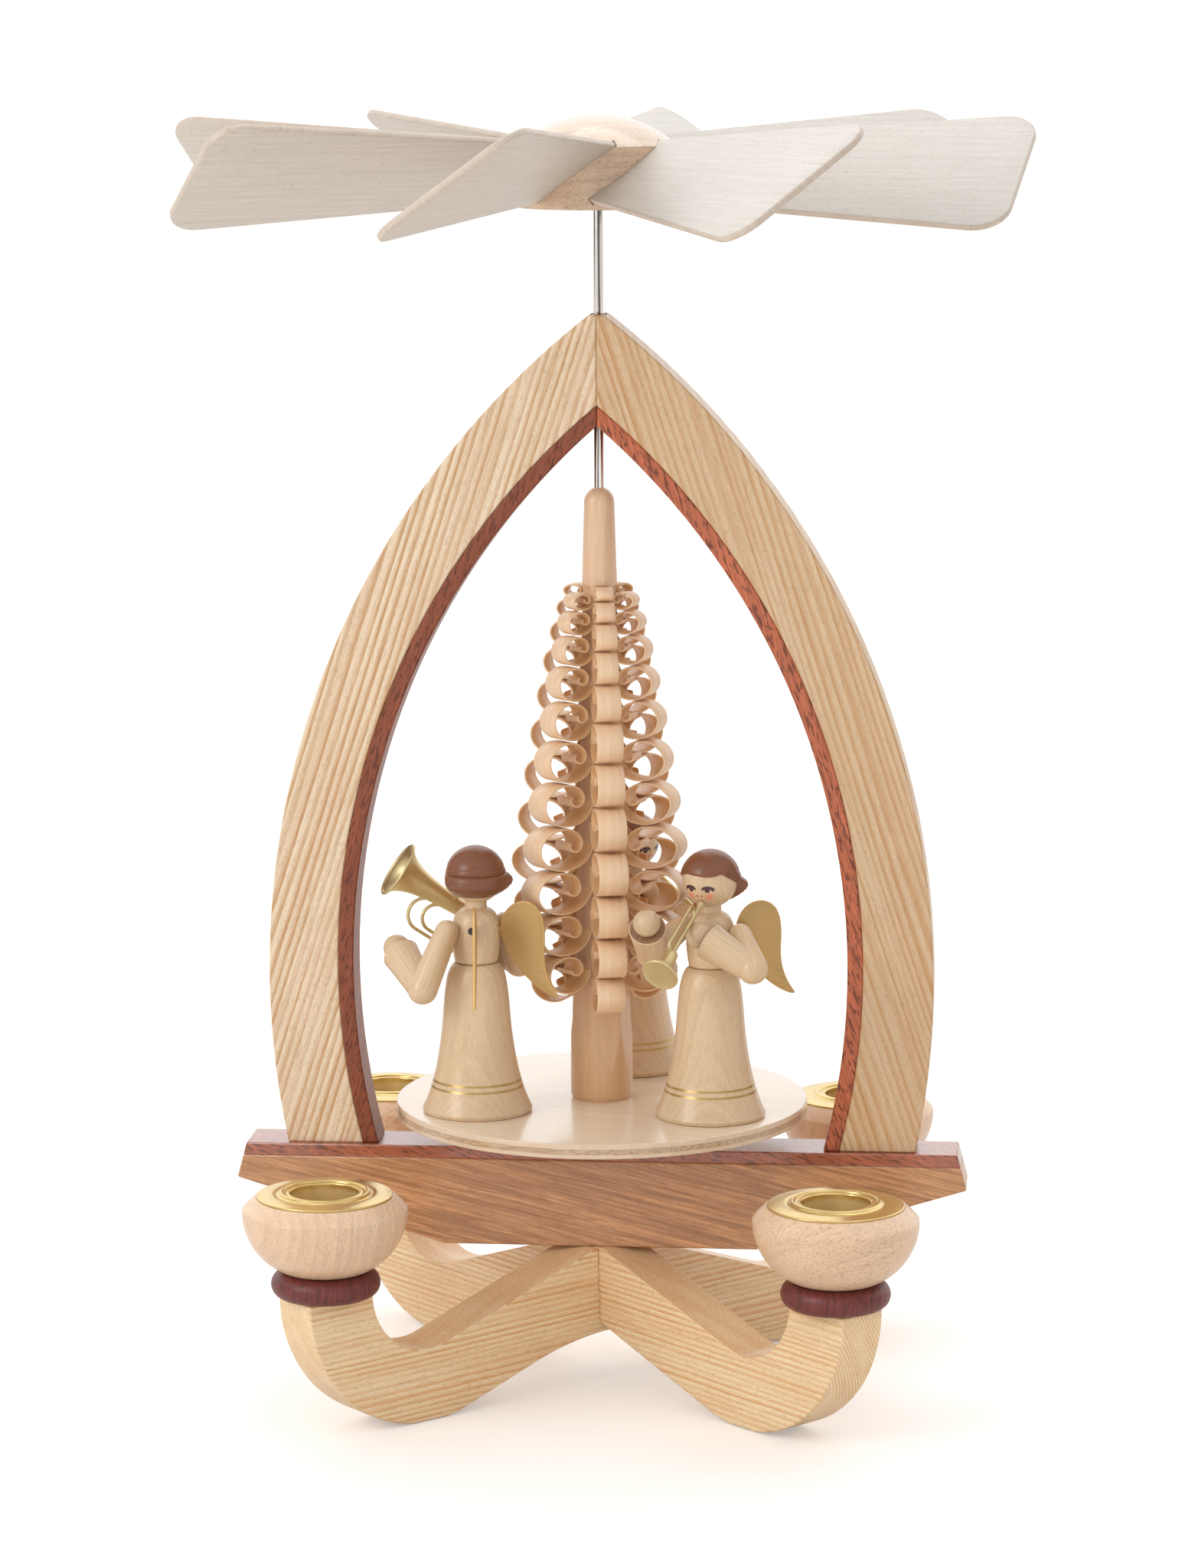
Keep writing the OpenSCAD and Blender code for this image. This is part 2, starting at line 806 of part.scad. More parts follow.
// Skirt, waist, torso and neck as one turned outline
function skirt_low() = curve([[hem_r, 0.025 * waist_h], [0.83 * hem_r, 0.14 * waist_h],
  [1.83 * waist_r, 0.31 * waist_h], [hip_r, hip_z]], 8);
function skirt_high() = curve([[hip_r, hip_z], [1.5 * waist_r, 0.745 * waist_h],
  [1.5 * waist_r, 0.955 * waist_h], [1.02 * waist_r, 0.997 * waist_h]], 8);
function torso_side() = curve([[waist_r, 1.01 * waist_h], [1.19 * waist_r, waist_h + 0.6 * torso_h],
  [1.22 * waist_r, neck_z - 0.01 * torso_h], [neck_r, neck_z]], 8);

module angel_body(place) {
  color(maple)
    on_table(place)
      difference() {
        rotate_extrude()
          polygon(concat([[0, 0], [hem_r - hem_edge, 0]], skirt_low(), skirt_high(),
            [[waist_r - waist_groove, 1.003 * waist_h]], torso_side(), [[neck_r, neck_top], [0, neck_top]]));
        for (side = [-1, 1])
          rotate(180 + side * place[2])
            translate([waist_r - wing_hole_depth, 0, wing_hole_z])
              rotate([0, 90, 0])
                cylinder(h = hem_r, r = wing_hole_r, $fn = 24);
      }
}

module angel_head(place) {
  color(maple)
    on_table(place)
      difference() {
        translate([0, 0, head_z])
          sphere(head_r);
        translate([0, 0, neck_top - head_r])
          cylinder(h = head_r, r = neck_r + glue_gap);
      }
}

// A cap that comes down from the brow to the nape, with the rolled hair round the back
module angel_hair(place) {
  roll_ring = sqrt(pow(head_r, 2) - pow(roll_z, 2)) + roll_out;
  color(chestnut)
    on_table(place)
      translate([0, 0, head_z])
        difference() {
          union() {
            intersection() {
              sphere(head_r + hair_t);
              rotate([0, -hair_fall, 0])
                translate([-far / 2, -far / 2, brow_z * cos(hair_fall) - head_r * sin(hair_fall) + brow_rise])
                  cube([far, far, far]);
            }
            translate([0, 0, roll_z])
              rotate(180 - roll_sweep / 2)
                rotate_extrude(angle = roll_sweep)
                  translate([roll_ring, 0])
                    circle(roll_r, $fn = 32);
          }
          sphere(head_r + glue_gap);
        }
}

// A bar between two points that widens towards the second, with round ends
module round_bar(from, to, r_from, r_to) {
  length = norm(to - from);
  lean = asin((r_to - r_from) / length);
  aim(from, to)
    rotate_extrude($fn = 48)
      polygon(concat(arc([0, 0], r_from, -90, -lean, 6), arc([0, length], r_to, -lean, 90, 8)));
}

// An upper arm with a round shoulder and elbow, and a sleeve that widens to its open end
module angel_arm(pose) {
  color(maple)
    difference() {
      union() {
        round_bar(pose[0], pose[1], arm_r, elbow_r);
        aim(pose[1], pose[2])
          cylinder(h = norm(pose[2] - pose[1]), r1 = sleeve_start * elbow_r, r2 = sleeve_r, $fn = 48);
      }
      translate([0, 0, waist_h])
        cylinder(h = torso_h, r = torso_r);
      translate(hand_at(pose))
        sphere(hand_r + glue_gap, $fn = 48);
    }
}

function hand_at(pose) = let (d = pose[2] - pose[1]) pose[2] + d / norm(d) * hand_r * hand_out;

module angel_arms(place, poses) {
  on_table(place)
    for (pose = poses)
      angel_arm(pose);
}

module angel_hands(place, poses) {
  color(maple)
    on_table(place)
      for (pose = poses)
        translate(hand_at(pose))
          sphere(hand_r, $fn = 48);
}

// A wing: a round shoulder, a hollow outer edge and a tip drawn out low; x is out from the back
module wing_outline() {
  scale(wing_reach)
    polygon(concat(
      curve([[0, -0.093], [-0.031, 0.248], [0.202, 0.512], [0.465, 0.481]], 6),
      curve([[0.512, 0.465], [0.775, 0.403], [0.791, 0.078], [0.767, -0.31]], 6),
      curve([[0.767, -0.388], [0.76, -0.667], [0.868, -0.899], [1, -1.078]], 6),
      curve([[0.977, -1.109], [0.698, -1.039], [0.248, -0.698], [0.078, -0.233]], 6)));
}

module angel_wings(place) {
  color(gold)
    on_table(place)
      for (side = [-1, 1])
        rotate(180 + side * place[2])
          translate([waist_r + wing_off, 0, wing_hole_z]) {
            upright(wing_t)
              wing_outline();
            translate([-wing_tab_bite, -wing_t / 2, -wing_tab[1] / 2])
              cube([wing_tab[0], wing_t, wing_tab[1]]);
          }
}

// A flared bell on a tapering tube, along +Z from the narrow end
module bell_outline(length, narrow, wide, lip) {
  difference() {
    polygon(concat([[0, 0], [narrow, 0]],
      curve([[narrow, length * 0.1], [narrow * 1.35, length * 0.62],
        [narrow * 1.6, length * 0.88], [wide, length - lip]], 10),
      [[wide, length], [0, length]]));
    polygon(concat([[0, length * 0.72]],
      curve([[bell_bore, length * 0.72], [narrow * 1.2, length * 0.8],
        [narrow * 1.5, length * 0.94], [wide - lip, length]], 8), [[0, length]]));
  }
}

// A wire bow beside a tube along +Z, from x = foot: a half circle at each end and a straight run between
module wire_bow(foot, r, from, to) {
  translate([foot + 2 * r, 0, from])
    cylinder(h = to - from, r = wire_r, $fn = 24);
  for (end = [[from, 180], [to, 0]])
    translate([foot + r, 0, end[0]])
      rotate([90, end[1], 0])
        rotate_extrude(angle = 180)
          translate([r, 0])
            circle(wire_r, $fn = 24);
}

// The horn with two wire bows on its under side, and a mouthpiece from the horn to the lips
module left_angel_horn() {
  tail = horn_mid - horn_dir * horn_tail;
  color(brass)
    on_table(left_place) {
      aim(tail, tail + horn_dir) {
        rotate_extrude()
          bell_outline(horn_len, horn_tube_r, horn_bell_r, bell_lip);
        for (bow = horn_bows)
          wire_bow(horn_tube_r, bow[0], bow[1], bow[2]);
      }
      aim(lips, horn_mid)
        cylinder(h = norm(horn_mid - lips), r = wire_r, $fn = 24);
    }
}

// A trumpet: a straight tube with a long wire loop above it and a flat-faced bell
module trumpet(place) {
  color(brass)
    on_table([place[0], place[1] + place[3]])
      translate(lips)
        rotate([0, 90 + trumpet_drop, 0]) {
          cylinder(h = trumpet_len - bell_edge, r = tube_r, $fn = 24);
          cylinder(h = mouth_len, r1 = mouth_r, r2 = tube_r, $fn = 24);
          translate([0, 0, trumpet_len - bell_len])
            rotate_extrude()
              polygon(concat([[0, 0], [throat_r, 0]],
                curve([[throat_r, bell_len * 0.2], [throat_r * 1.1, bell_len * 0.61],
                  [throat_r * 1.3, bell_len * 0.82], [trumpet_bell_r, bell_len - 3 * bell_edge]], 8),
                [[trumpet_bell_r, bell_len - bell_edge], [trumpet_bell_r - bell_edge, bell_len]],
                [[0, bell_len]]));
          rotate(180)
            wire_bow(0, loop_r, loop_from + loop_r, loop_to);
        }
}

module right_angel_trumpet() {
  trumpet(right_place);
}

module rear_angel_trumpet() {
  trumpet(rear_place);
}

// Half width of a blade at a distance from the shaft
function blade_half(x) = root_half + (x - root_x) * tan(blade_taper);

// One blade's flat outline from its root in the hub, x out from the shaft
module blade_outline() {
  corner_x = blade_reach - blade_corner_r;
  corner_y = blade_half(corner_x) - blade_corner_r / cos(blade_taper);
  polygon(concat([[root_x, -root_half], [root_x, root_half]],
    arc([corner_x, corner_y], blade_corner_r, 90 + blade_taper, 0, 6),
    arc([corner_x, -corner_y], blade_corner_r, 0, -90 - blade_taper, 6)));
}

// The slot for one blade's root, open to the outside
module slot_outline() {
  inner = root_x - glue_gap;
  outer = 2 * hub_r;
  polygon([[inner, -root_half - slot_room], [outer, -blade_half(outer) - slot_room],
    [outer, blade_half(outer) + slot_room], [inner, root_half + slot_room]]);
}

module on_hub(i) {
  rotate(blade_turn + 360 * (i - 1) / blade_count)
    translate([0, 0, blade_z])
      rotate([blade_pitch, 0, 0])
        children();
}

module blade(i) {
  color(birch)
    on_hub(i)
      linear_extrude(blade_t, center = true)
        blade_outline();
}

module impeller_hub() {
  color(beech)
    difference() {
      rotate_extrude()
        union() {
          translate([0, hub_z])
            square([hub_r, hub_side]);
          intersection() {
            translate([0, hub_z + hub_side + dome_h - dome_r])
              circle(dome_r);
            translate([0, hub_z + hub_side])
              square([hub_r, dome_h]);
          }
        }
      for (i = [1:blade_count])
        on_hub(i)
          linear_extrude(blade_t + 2 * glue_gap, center = true)
            slot_outline();
      cylinder(h = shaft_top + glue_gap, r = shaft_r + glue_gap);
    }
}

base_board_lower();
base_board_upper();
cross_beam();
beam_top_strip();
arch_left();
arch_right();
arch_strip_left();
arch_strip_right();
for (i = [1:4]) {
  spacer_ring(i);
  candle_bowl(i);
  candle_insert(i);
}
bowl_dowels();
leg_dowels();
beam_screw();
bearing_cup();
guide_bush();
shaft();
turntable();
shaved_tree();
angel_body(left_place);  // left_angel_body
angel_head(left_place);  // left_angel_head
angel_hair(left_place);  // left_angel_hair
angel_arms(left_place, left_angel_poses);  // left_angel_arms
angel_hands(left_place, left_angel_poses);  // left_angel_hands
angel_wings(left_place);  // left_angel_wings
left_angel_horn();
angel_body(right_place);  // right_angel_body
angel_head(right_place);  // right_angel_head
angel_hair(right_place);  // right_angel_hair
angel_arms(right_place, right_angel_poses);  // right_angel_arms
angel_hands(right_place, right_angel_poses);  // right_angel_hands
angel_wings(right_place);  // right_angel_wings
right_angel_trumpet();
angel_body(rear_place);  // rear_angel_body
angel_head(rear_place);  // rear_angel_head
angel_hair(rear_place);  // rear_angel_hair
angel_arms(rear_place, rear_angel_poses);  // rear_angel_arms
angel_hands(rear_place, rear_angel_poses);  // rear_angel_hands
angel_wings(rear_place);  // rear_angel_wings
rear_angel_trumpet();
impeller_hub();
for (i = [1:blade_count])
  blade(i);
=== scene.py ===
"""Looks of a table-top Christmas pyramid: turned, shaved and varnished wood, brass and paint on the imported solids."""

import math

import bmesh
import bpy
import numpy as np
from mathutils import Matrix, Vector


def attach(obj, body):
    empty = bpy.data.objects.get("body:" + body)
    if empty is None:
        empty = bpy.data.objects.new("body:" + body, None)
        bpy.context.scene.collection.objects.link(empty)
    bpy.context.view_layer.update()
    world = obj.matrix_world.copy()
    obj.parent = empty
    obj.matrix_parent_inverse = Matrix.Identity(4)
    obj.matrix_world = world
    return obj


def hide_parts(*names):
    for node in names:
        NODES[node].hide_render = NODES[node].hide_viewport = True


bl_info = {
    "name": "Christmas Pyramid",
    "version": (1, 0, 0),
    "blender": (4, 5, 0),
    "location": "View3D > Sidebar > Pyramid",
    "description": "Builds the finished pieces of a table-top Christmas pyramid on its packed solids",
    "category": "Object",
}

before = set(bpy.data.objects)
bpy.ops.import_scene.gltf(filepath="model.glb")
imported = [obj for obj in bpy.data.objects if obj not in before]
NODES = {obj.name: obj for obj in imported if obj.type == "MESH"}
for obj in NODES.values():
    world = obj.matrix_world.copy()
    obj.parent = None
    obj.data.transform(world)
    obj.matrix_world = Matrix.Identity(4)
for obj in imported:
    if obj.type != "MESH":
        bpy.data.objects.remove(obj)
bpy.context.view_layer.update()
MM = 0.001
STAND, CAROUSEL = "stand", "carousel"
HOLDERS = (1, 2, 3, 4)
BLADES = tuple(range(1, 9))

# Sizes in millimetres, as in the part's source
TABLE_Z, TABLE_T, TABLE_R = 62.0, 3.2, 44.5
CORE_Z = 60.35
SHAFT_R, BORE_R = 1.0, 1.03
RING_Z, BOWL_Z, CUP_RIM_Z = 30.0, 35.5, 51.7
HOLDER_U = 72.8
HOLDER_TURNS = (223.0, -43.0, 43.0, 137.0)
FIGURE_RING = 29.4
HEAD_R, HEAD_Z = 6.0, 51.2
WAIST_Z = 32.5
HEM_LINES_Z = (7.05, 5.75)
BACK_R, WING_HOLE_Z = 5.1, 39.95
LIPS = np.array([4.37, 0.0, 46.7])
SHOULDER_Y, SHOULDER_Z = 7.5, 39.83
BENT = ((6.0, 14.17, 34.3), (7.5, 4.05, 39.56))
REACH = ((5.62, 11.4, 34.8), (12.0, 8.17, 41.6))
NEAR = ((-1.5, 9.0, 32.6), (7.2, 3.82, 39.48))
HORN = ((-0.97, 14.47, 28.31), (9.97, 12.67, 34.0))
TAIL = ((-0.97, 10.42, 31.2), (6.22, 8.62, 34.21))
# Each angel: place round the turntable, facing, and elbow and sleeve end of the left and the right arm
ANGELS = {
    "left_angel": (-149.6, 131.6, HORN, TAIL),
    "right_angel": (-32.4, -117.6, BENT, REACH),
    "rear_angel": (82.0, -35.0, REACH, NEAR),
}
# Turns from an angel's own frame, in degrees: its face, its trumpet, and its wings from straight back
FACE_TURN = {"left_angel": 0.0, "right_angel": 6.5, "rear_angel": 0.0}
TRUMPET_TURN = {"right_angel": 6.0, "rear_angel": -2.0}
WING_TURN = {"left_angel": 36.0, "right_angel": 45.0, "rear_angel": 45.0}
# Where the rolled hair begins on an angel's left and right side, in degrees from the face
ROLL_FROM = {"left_angel": (50.0, 92.0), "right_angel": (92.0, 92.0), "rear_angel": (92.0, 50.0)}


def tone(red, green, blue):
    """A colour read as 0 to 255 on screen, as linear values."""
    c = np.array([red, green, blue]) / 255
    return tuple(float(v) for v in np.where(c <= 0.04045, c / 12.92, ((c + 0.055) / 1.055) ** 2.4))


def scaled(rgb, by):
    """A colour made lighter or darker, with no value over 1."""
    return tuple(min(1.0, v * by) for v in rgb)


# Sizes and colours that a user may change

def colour(label, about, rgb):
    return bpy.props.FloatVectorProperty(
        name=label, description=about, subtype="COLOR", size=3, min=0, max=1, default=tone(*rgb))


def length(label, about, value):
    return bpy.props.FloatProperty(
        name=label, description=about, default=value * MM, min=0, unit="LENGTH", subtype="DISTANCE", precision=5)


class PyramidWoods(bpy.types.PropertyGroup):
    ash: colour("Ash", "Light wood of the arch", (243, 223, 194))
    ash_ring: colour("Ash rings", "Honey-coloured growth rings of the arch", (200, 150, 97))
    # Right half's ash: a darker copy of the left half's ash, painted shade where less light falls on it.
    ash_right: colour("Right ash", "Warmer wood of the arch's right half", (222, 193, 156))
    board: colour("Base boards", "Light wood of the base cross", (255, 231, 190))
    board_ring: colour("Base board rings", "Growth rings of the base cross", (230, 172, 108))
    strip: colour("Dark strip", "Red-brown strips on the beam and inside the arch", (152, 82, 54))
    strip_fleck: colour("Strip flecks", "Dark pores of the strips", (86, 42, 30))
    heart: colour("Heartwood", "Brown wood of the beam", (195, 145, 102))
    heart_streak: colour("Heartwood streaks", "Darker streaks of the beam", (142, 88, 52))
    beech: colour("Beech", "Turned candle bowls and the hub", (232, 199, 166))
    beech_fleck: colour("Beech flecks", "Small dashes in the beech", (176, 128, 92))
    burgundy: colour("Burgundy stain", "Stained spacer rings", (104, 42, 38))
    birch: colour("Birch", "Blades", (214, 208, 200))
    birch_line: colour("Birch lines", "Fine lines and specks of the birch", (168, 146, 126))
    ply_core: colour("Plywood core", "Middle ply and cut edges", (200, 158, 116))
    table: colour("Turntable", "Top of the turntable", (240, 220, 194))
    lime: colour("Lime wood", "Outer side of the shavings", (241, 209, 176))
    # Inside colour of the shavings: painted shade and a painted glow of light through the thin wood.
    lime_inside_shade: colour("Lime wood inside", "Inner side of the shavings", (232, 187, 132))
    trunk: colour("Trunk", "Turned trunk of the tree", (226, 190, 154))
    maple: colour("Maple", "Angels", (218, 191, 155))
    maple_line: colour("Maple lines", "Fine vertical grain of the angels", (196, 154, 110))
    end_grain: colour("End grain", "Cut ends of the sleeves", (168, 126, 94))


class PyramidFinishes(bpy.types.PropertyGroup):
    brass: colour("Brass", "Pressed candle inserts", (222, 194, 132))
    horn: colour("Horn brass", "Horn and trumpets", (220, 202, 154))
    steel: colour("Steel", "Shaft", (236, 230, 226))
    hair: colour("Hair paint", "Gloss brown hair", (128, 76, 48))
    gold: colour("Gold paint", "Wings", (196, 160, 104))
    line: colour("Gold lines", "Two lines on each hem", (196, 164, 100))
    lash: colour("Lashes", "Painted eyes", (74, 32, 44))
    cheek: colour("Cheeks", "Painted cheeks", (238, 140, 116))
    lips: colour("Nose and mouth", "Painted nose dots and mouth", (206, 74, 58))
    # Wing holes: painted shade, dark spots for the inside of the holes.
    hole_shade: colour("Holes", "Drilled wing holes", (46, 28, 18))
    floor: colour("Floor", "Studio floor", (230, 226, 222))


class PyramidSizes(bpy.types.PropertyGroup):
    eased_edge: length("Eased edge", "Rounding of the sawn boards' edges", 0.35)
    blade_edge: length("Blade edge", "Rounding of the blades' edges", 0.45)
    wing_edge: length("Wing edge", "Rounding of the wings' edges", 0.28)
    shaving: length("Shaving", "Thickness of a shaving", 0.42)
    hair_coat: length("Hair coat", "Thickness of the hair cap", 0.45)
    hem_line: length("Hem line", "Half width of a gold line", 0.24)
    ring_gap: length("Ring gap", "Distance between the ash's growth rings", 1.75)


def woods():
    return bpy.context.scene.pyramid_woods


def finishes():
    return bpy.context.scene.pyramid_finishes


def sizes():
    return bpy.context.scene.pyramid_sizes


def mm(name):
    return getattr(sizes(), name) / MM


# Points and surfaces; all in millimetres

def unit(v):
    """Vectors divided by their lengths."""
    return v / np.linalg.norm(v, axis=-1, keepdims=True)


def bezier(points, count):
    """A cubic curve through four control points, at even steps of its parameter."""
    p = np.asarray(points, float)
    t = np.linspace(0, 1, count)[:, None]
    return (1 - t) ** 3 * p[0] + 3 * (1 - t) ** 2 * t * p[1] + 3 * (1 - t) * t ** 2 * p[2] + t ** 3 * p[3]


def joined(*runs):
    """Runs of points, one after the other."""
    return np.concatenate([np.asarray(r, float).reshape(-1, np.shape(r)[-1]) for r in runs])


def arc(centre, radius, start, end, count):
    """Part of a circle between two angles in degrees: centre + radius (cos a, sin a)."""
    a = np.radians(np.linspace(start, end, count))
    return np.stack([centre[0] + radius * np.cos(a), centre[1] + radius * np.sin(a)], -1)


def smooth(low, high, x):
    """0 below low, 1 above high, and an S-curve between."""
    t = np.clip((x - low) / (high - low), 0, 1)
    return t * t * (3 - 2 * t)


def turned(profile, count):
    """A profile of radius and height carried round Z: x = r cos a, y = r sin a."""
    p = np.asarray(profile, float)
    a = np.linspace(0, 2 * np.pi, count, endpoint=False)
    r, z = p[:, :1], p[:, 1:]
    return np.stack([r * np.cos(a), r * np.sin(a), z + 0 * a], -1)


def tube(path, radius, sides=14):
    """A circle of changing radius carried along a path; it is drawn to a point at both ends to close it."""
    path = np.asarray(path, float)
    radius = np.broadcast_to(np.asarray(radius, float), len(path))
    along = unit(np.gradient(path, axis=0))
    side = unit(np.cross(along, (0.0, 1.0, 0.0)))
    top = np.cross(side, along)
    path, side, top = (np.concatenate([v[:1], v, v[-1:]]) for v in (path, side, top))
    radius = np.concatenate([[0], radius, [0]])
    a = np.linspace(0, 2 * np.pi, sides, endpoint=False)
    ring = np.cos(a)[None, :, None] * side[:, None] + np.sin(a)[None, :, None] * top[:, None]
    return path[:, None] + radius[:, None, None] * ring


def aimed(points, start, direction):
    """Turns +Z onto a direction, first about Y and then about Z, and moves the origin to start."""
    d = unit(np.asarray(direction, float))
    turn = Matrix.Rotation(math.atan2(d[1], d[0]), 3, "Z") @ Matrix.Rotation(math.acos(d[2]), 3, "Y")
    return points @ np.array(turn).T + np.asarray(start, float)


def about_z(points, degrees, shift=(0, 0, 0)):
    """Turns points about Z and then moves them."""
    turn = np.array(Matrix.Rotation(math.radians(degrees), 3, "Z"))
    return points @ turn.T + np.asarray(shift, float)


def on_table(points, angel):
    """From an angel's own frame, x forward and y to its left, to its place on the turntable."""
    place, facing = ANGELS[angel][:2]
    a = math.radians(place)
    return about_z(points, facing, (FIGURE_RING * math.cos(a), FIGURE_RING * math.sin(a), TABLE_Z))


def on_arm(points, number):
    """From a candle holder's own axis to the end of its base arm."""
    turn = HOLDER_TURNS[number - 1]
    a = math.radians(turn)
    return about_z(points, turn, (HOLDER_U * math.cos(a), HOLDER_U * math.sin(a), 0))


def board_edge(outline, half, ease):
    """A flat board: its outline is carried through the thickness and drawn in by a quarter circle at both faces."""
    p = np.asarray(outline, float)
    step = unit(np.roll(p, -1, 0) - p)
    out = np.stack([step[:, 1], -step[:, 0]], -1)
    out = unit(out + np.roll(out, 1, 0))
    a = np.radians(np.array([-90, -60, -30, 0, 0, 30, 60, 90]))
    level = np.where(np.arange(8) < 4, -1, 1) * (half - ease) + ease * np.sin(a)
    flat = p[None] - (ease * (1 - np.cos(a)))[:, None, None] * out[None]
    return flat, level


# Meshes

def strips(rows, columns, wrap):
    """Corner numbers of the four-sided faces of a grid, and the grid places that their map values come from."""
    last = columns if wrap else columns - 1
    i, j = (v.ravel() for v in np.meshgrid(np.arange(rows - 1), np.arange(last), indexing="ij"))
    pairs = ((i, j), (i, j + 1), (i + 1, j + 1), (i + 1, j))
    quads = np.stack([a * columns + b % columns for a, b in pairs], -1)
    places = np.stack([np.stack([a, b], -1) for a, b in pairs], 1)
    return quads, places


class Shell:
    """Collects grids and flat caps of one piece, and turns them into a mesh object."""

    weld, sliver = 2e-7, 1e-7

    def __init__(self):
        self.points, self.faces, self.maps, self.kinds, self.shades, self.count = [], [], [], [], [], 0

    def grid(self, points, wrap=True, kind=0, shade=0.0):
        """A grid of points; its map values are the distance along the rows and the share round the columns."""
        points = np.asarray(points, float)
        rows, columns = points.shape[:2]
        quads, places = strips(rows, columns, wrap)
        run = np.linalg.norm(np.diff(points.mean(1), axis=0), axis=-1)
        along = np.concatenate([[0], np.cumsum(run)])
        width = np.linalg.norm(np.diff(points, axis=1), axis=-1).sum(1).max() / max(columns - 1, 1)
        self.maps.append(np.stack([along[places[..., 0]], places[..., 1] * width], -1).reshape(-1, 2))
        self.faces.extend((quads + self.count).tolist())
        self.kinds.extend([kind] * len(quads))
        self._keep(points.reshape(-1, 3), shade)
        return self

    def cap(self, loop, turn=False):
        """One flat face with many corners."""
        loop = np.asarray(loop, float)
        ids = np.arange(len(loop)) + self.count
        self.faces.append((ids[::-1] if turn else ids).tolist())
        self.kinds.append(0)
        self.maps.append(loop[::-1 if turn else 1, :2])
        self._keep(loop, 0.0)
        return self

    def _keep(self, points, shade):
        self.points.append(points)
        self.shades.append(np.broadcast_to(np.asarray(shade, float), len(points)).astype(float))
        self.count += len(points)

    def build(self, name, body, finish, nodes, slot, sharp=38):
        """Makes the mesh, closes its seams and poles, turns its faces outwards and puts it on its body."""
        mesh = bpy.data.meshes.new(name)
        mesh.from_pydata((np.concatenate(self.points) * MM).tolist(), [], self.faces)
        mesh.uv_layers.new(name="run").data.foreach_set("uv", np.concatenate(self.maps).ravel().astype(np.float32))
        # The side attribute: real ply edges, plus painted shade on the shavings' insides and a painted highlight on the
        # wings' rims.
        mesh.attributes.new("side", "FLOAT", "POINT").data.foreach_set(
            "value", np.concatenate(self.shades).astype(np.float32))
        mesh.polygons.foreach_set("material_index", np.array(self.kinds, np.int32))
        work = bmesh.new()
        work.from_mesh(mesh)
        bmesh.ops.remove_doubles(work, verts=work.verts, dist=self.weld)
        bmesh.ops.dissolve_degenerate(work, edges=work.edges, dist=self.sliver)
        bmesh.ops.recalc_face_normals(work, faces=work.faces)
        work.to_mesh(mesh)
        work.free()
        mesh.polygons.foreach_set("use_smooth", np.ones(len(mesh.polygons), bool))
        mesh.set_sharp_from_angle(angle=math.radians(sharp))
        return settle(bpy.data.objects.new(name, mesh), body, finish, nodes)


def settle(piece, body, finish, nodes):
    """Links a piece, gives it its finishes, puts it on its body, and hides the solids it stands for."""
    bpy.context.scene.collection.objects.link(piece)
    for material in finish if isinstance(finish, (list, tuple)) else [finish]:
        piece.data.materials.append(material)
    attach(piece, body)
    if nodes:
        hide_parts(*nodes)
    return piece


def eased(node, name, body, finish):
    """A merged copy of a sawn solid, with its flat faces made whole and its edges rounded."""
    weld, flat, corner, sharp = 2e-6, math.radians(0.2), math.radians(35), math.radians(30)
    mesh = NODES[node].data.copy()
    mesh.name = name
    mesh.materials.clear()
    work = bmesh.new()
    work.from_mesh(mesh)
    bmesh.ops.remove_doubles(work, verts=work.verts, dist=weld)
    bmesh.ops.dissolve_limit(work, angle_limit=flat, verts=work.verts, edges=work.edges)
    work.to_mesh(mesh)
    work.free()
    piece = bpy.data.objects.new(name, mesh)
    bevel = piece.modifiers.new("eased edges", "BEVEL")
    bevel.width = sizes().eased_edge
    bevel.segments = 2
    bevel.limit_method = "ANGLE"
    bevel.angle_limit = corner
    bevel.use_clamp_overlap = False
    mesh.polygons.foreach_set("use_smooth", np.ones(len(mesh.polygons), bool))
    mesh.set_sharp_from_angle(angle=sharp)
    return settle(piece, body, finish, [node])


def dress(node, finish):
    """Gives a solid that stays visible its finish."""
    slots = NODES[node].data.materials
    slots.clear()
    slots.append(finish)


# Shader nodes

class Nodes:
    """Adds nodes to one node tree; a value is a constant, or the output that feeds the input of that name or number."""

    def __init__(self, tree):
        self.tree = tree

    def put(self, kind, values=None, **settings):
        """A node of a kind with its settings and values; gives its outputs."""
        node = self.tree.nodes.new("ShaderNode" + kind)
        for key, value in settings.items():
            setattr(node, key, value)
        for key, value in (values or {}).items():
            if isinstance(value, bpy.types.NodeSocket):
                self.tree.links.new(value, node.inputs[key])
            else:
                node.inputs[key].default_value = value
        return node.outputs

    def maths(self, operation, *values):
        return self.put("Math", dict(enumerate(values)), operation=operation)[0]

    def plus(self, first, second):
        return self.maths("ADD", first, second)

    def minus(self, first, second):
        return self.maths("SUBTRACT", first, second)

    def times(self, first, second):
        return self.maths("MULTIPLY", first, second)

    def vectors(self, operation, *values):
        return self.put("VectorMath", dict(enumerate(values)), operation=operation)[0]

    def axis(self, vector, name):
        return self.put("SeparateXYZ", {0: vector})[name]

    def noise(self, vector, scale=1.0, detail=2.0, rough=0.5, stretch=None):
        """Noise on coordinates that may be stretched first."""
        if stretch:
            vector = self.vectors("MULTIPLY", vector, stretch)
        return self.put("TexNoise", {"Vector": vector, "Scale": scale, "Detail": detail, "Roughness": rough})[0]

    def span(self, value, low, high, to_low=0.0, to_high=1.0):
        """Maps a value from one span to another with soft ends."""
        return self.put("MapRange", {
            "Value": value, "From Min": low, "From Max": high, "To Min": to_low, "To Max": to_high},
            interpolation_type="SMOOTHSTEP")[0]

    def mixed(self, share, first, second):
        """One colour laid over another by a share that changes over the surface."""
        first, second = (c if isinstance(c, bpy.types.NodeSocket) else (*c, 1.0) for c in (first, second))
        return self.put("Mix", {0: share, 6: first, 7: second}, data_type="RGBA")[2]


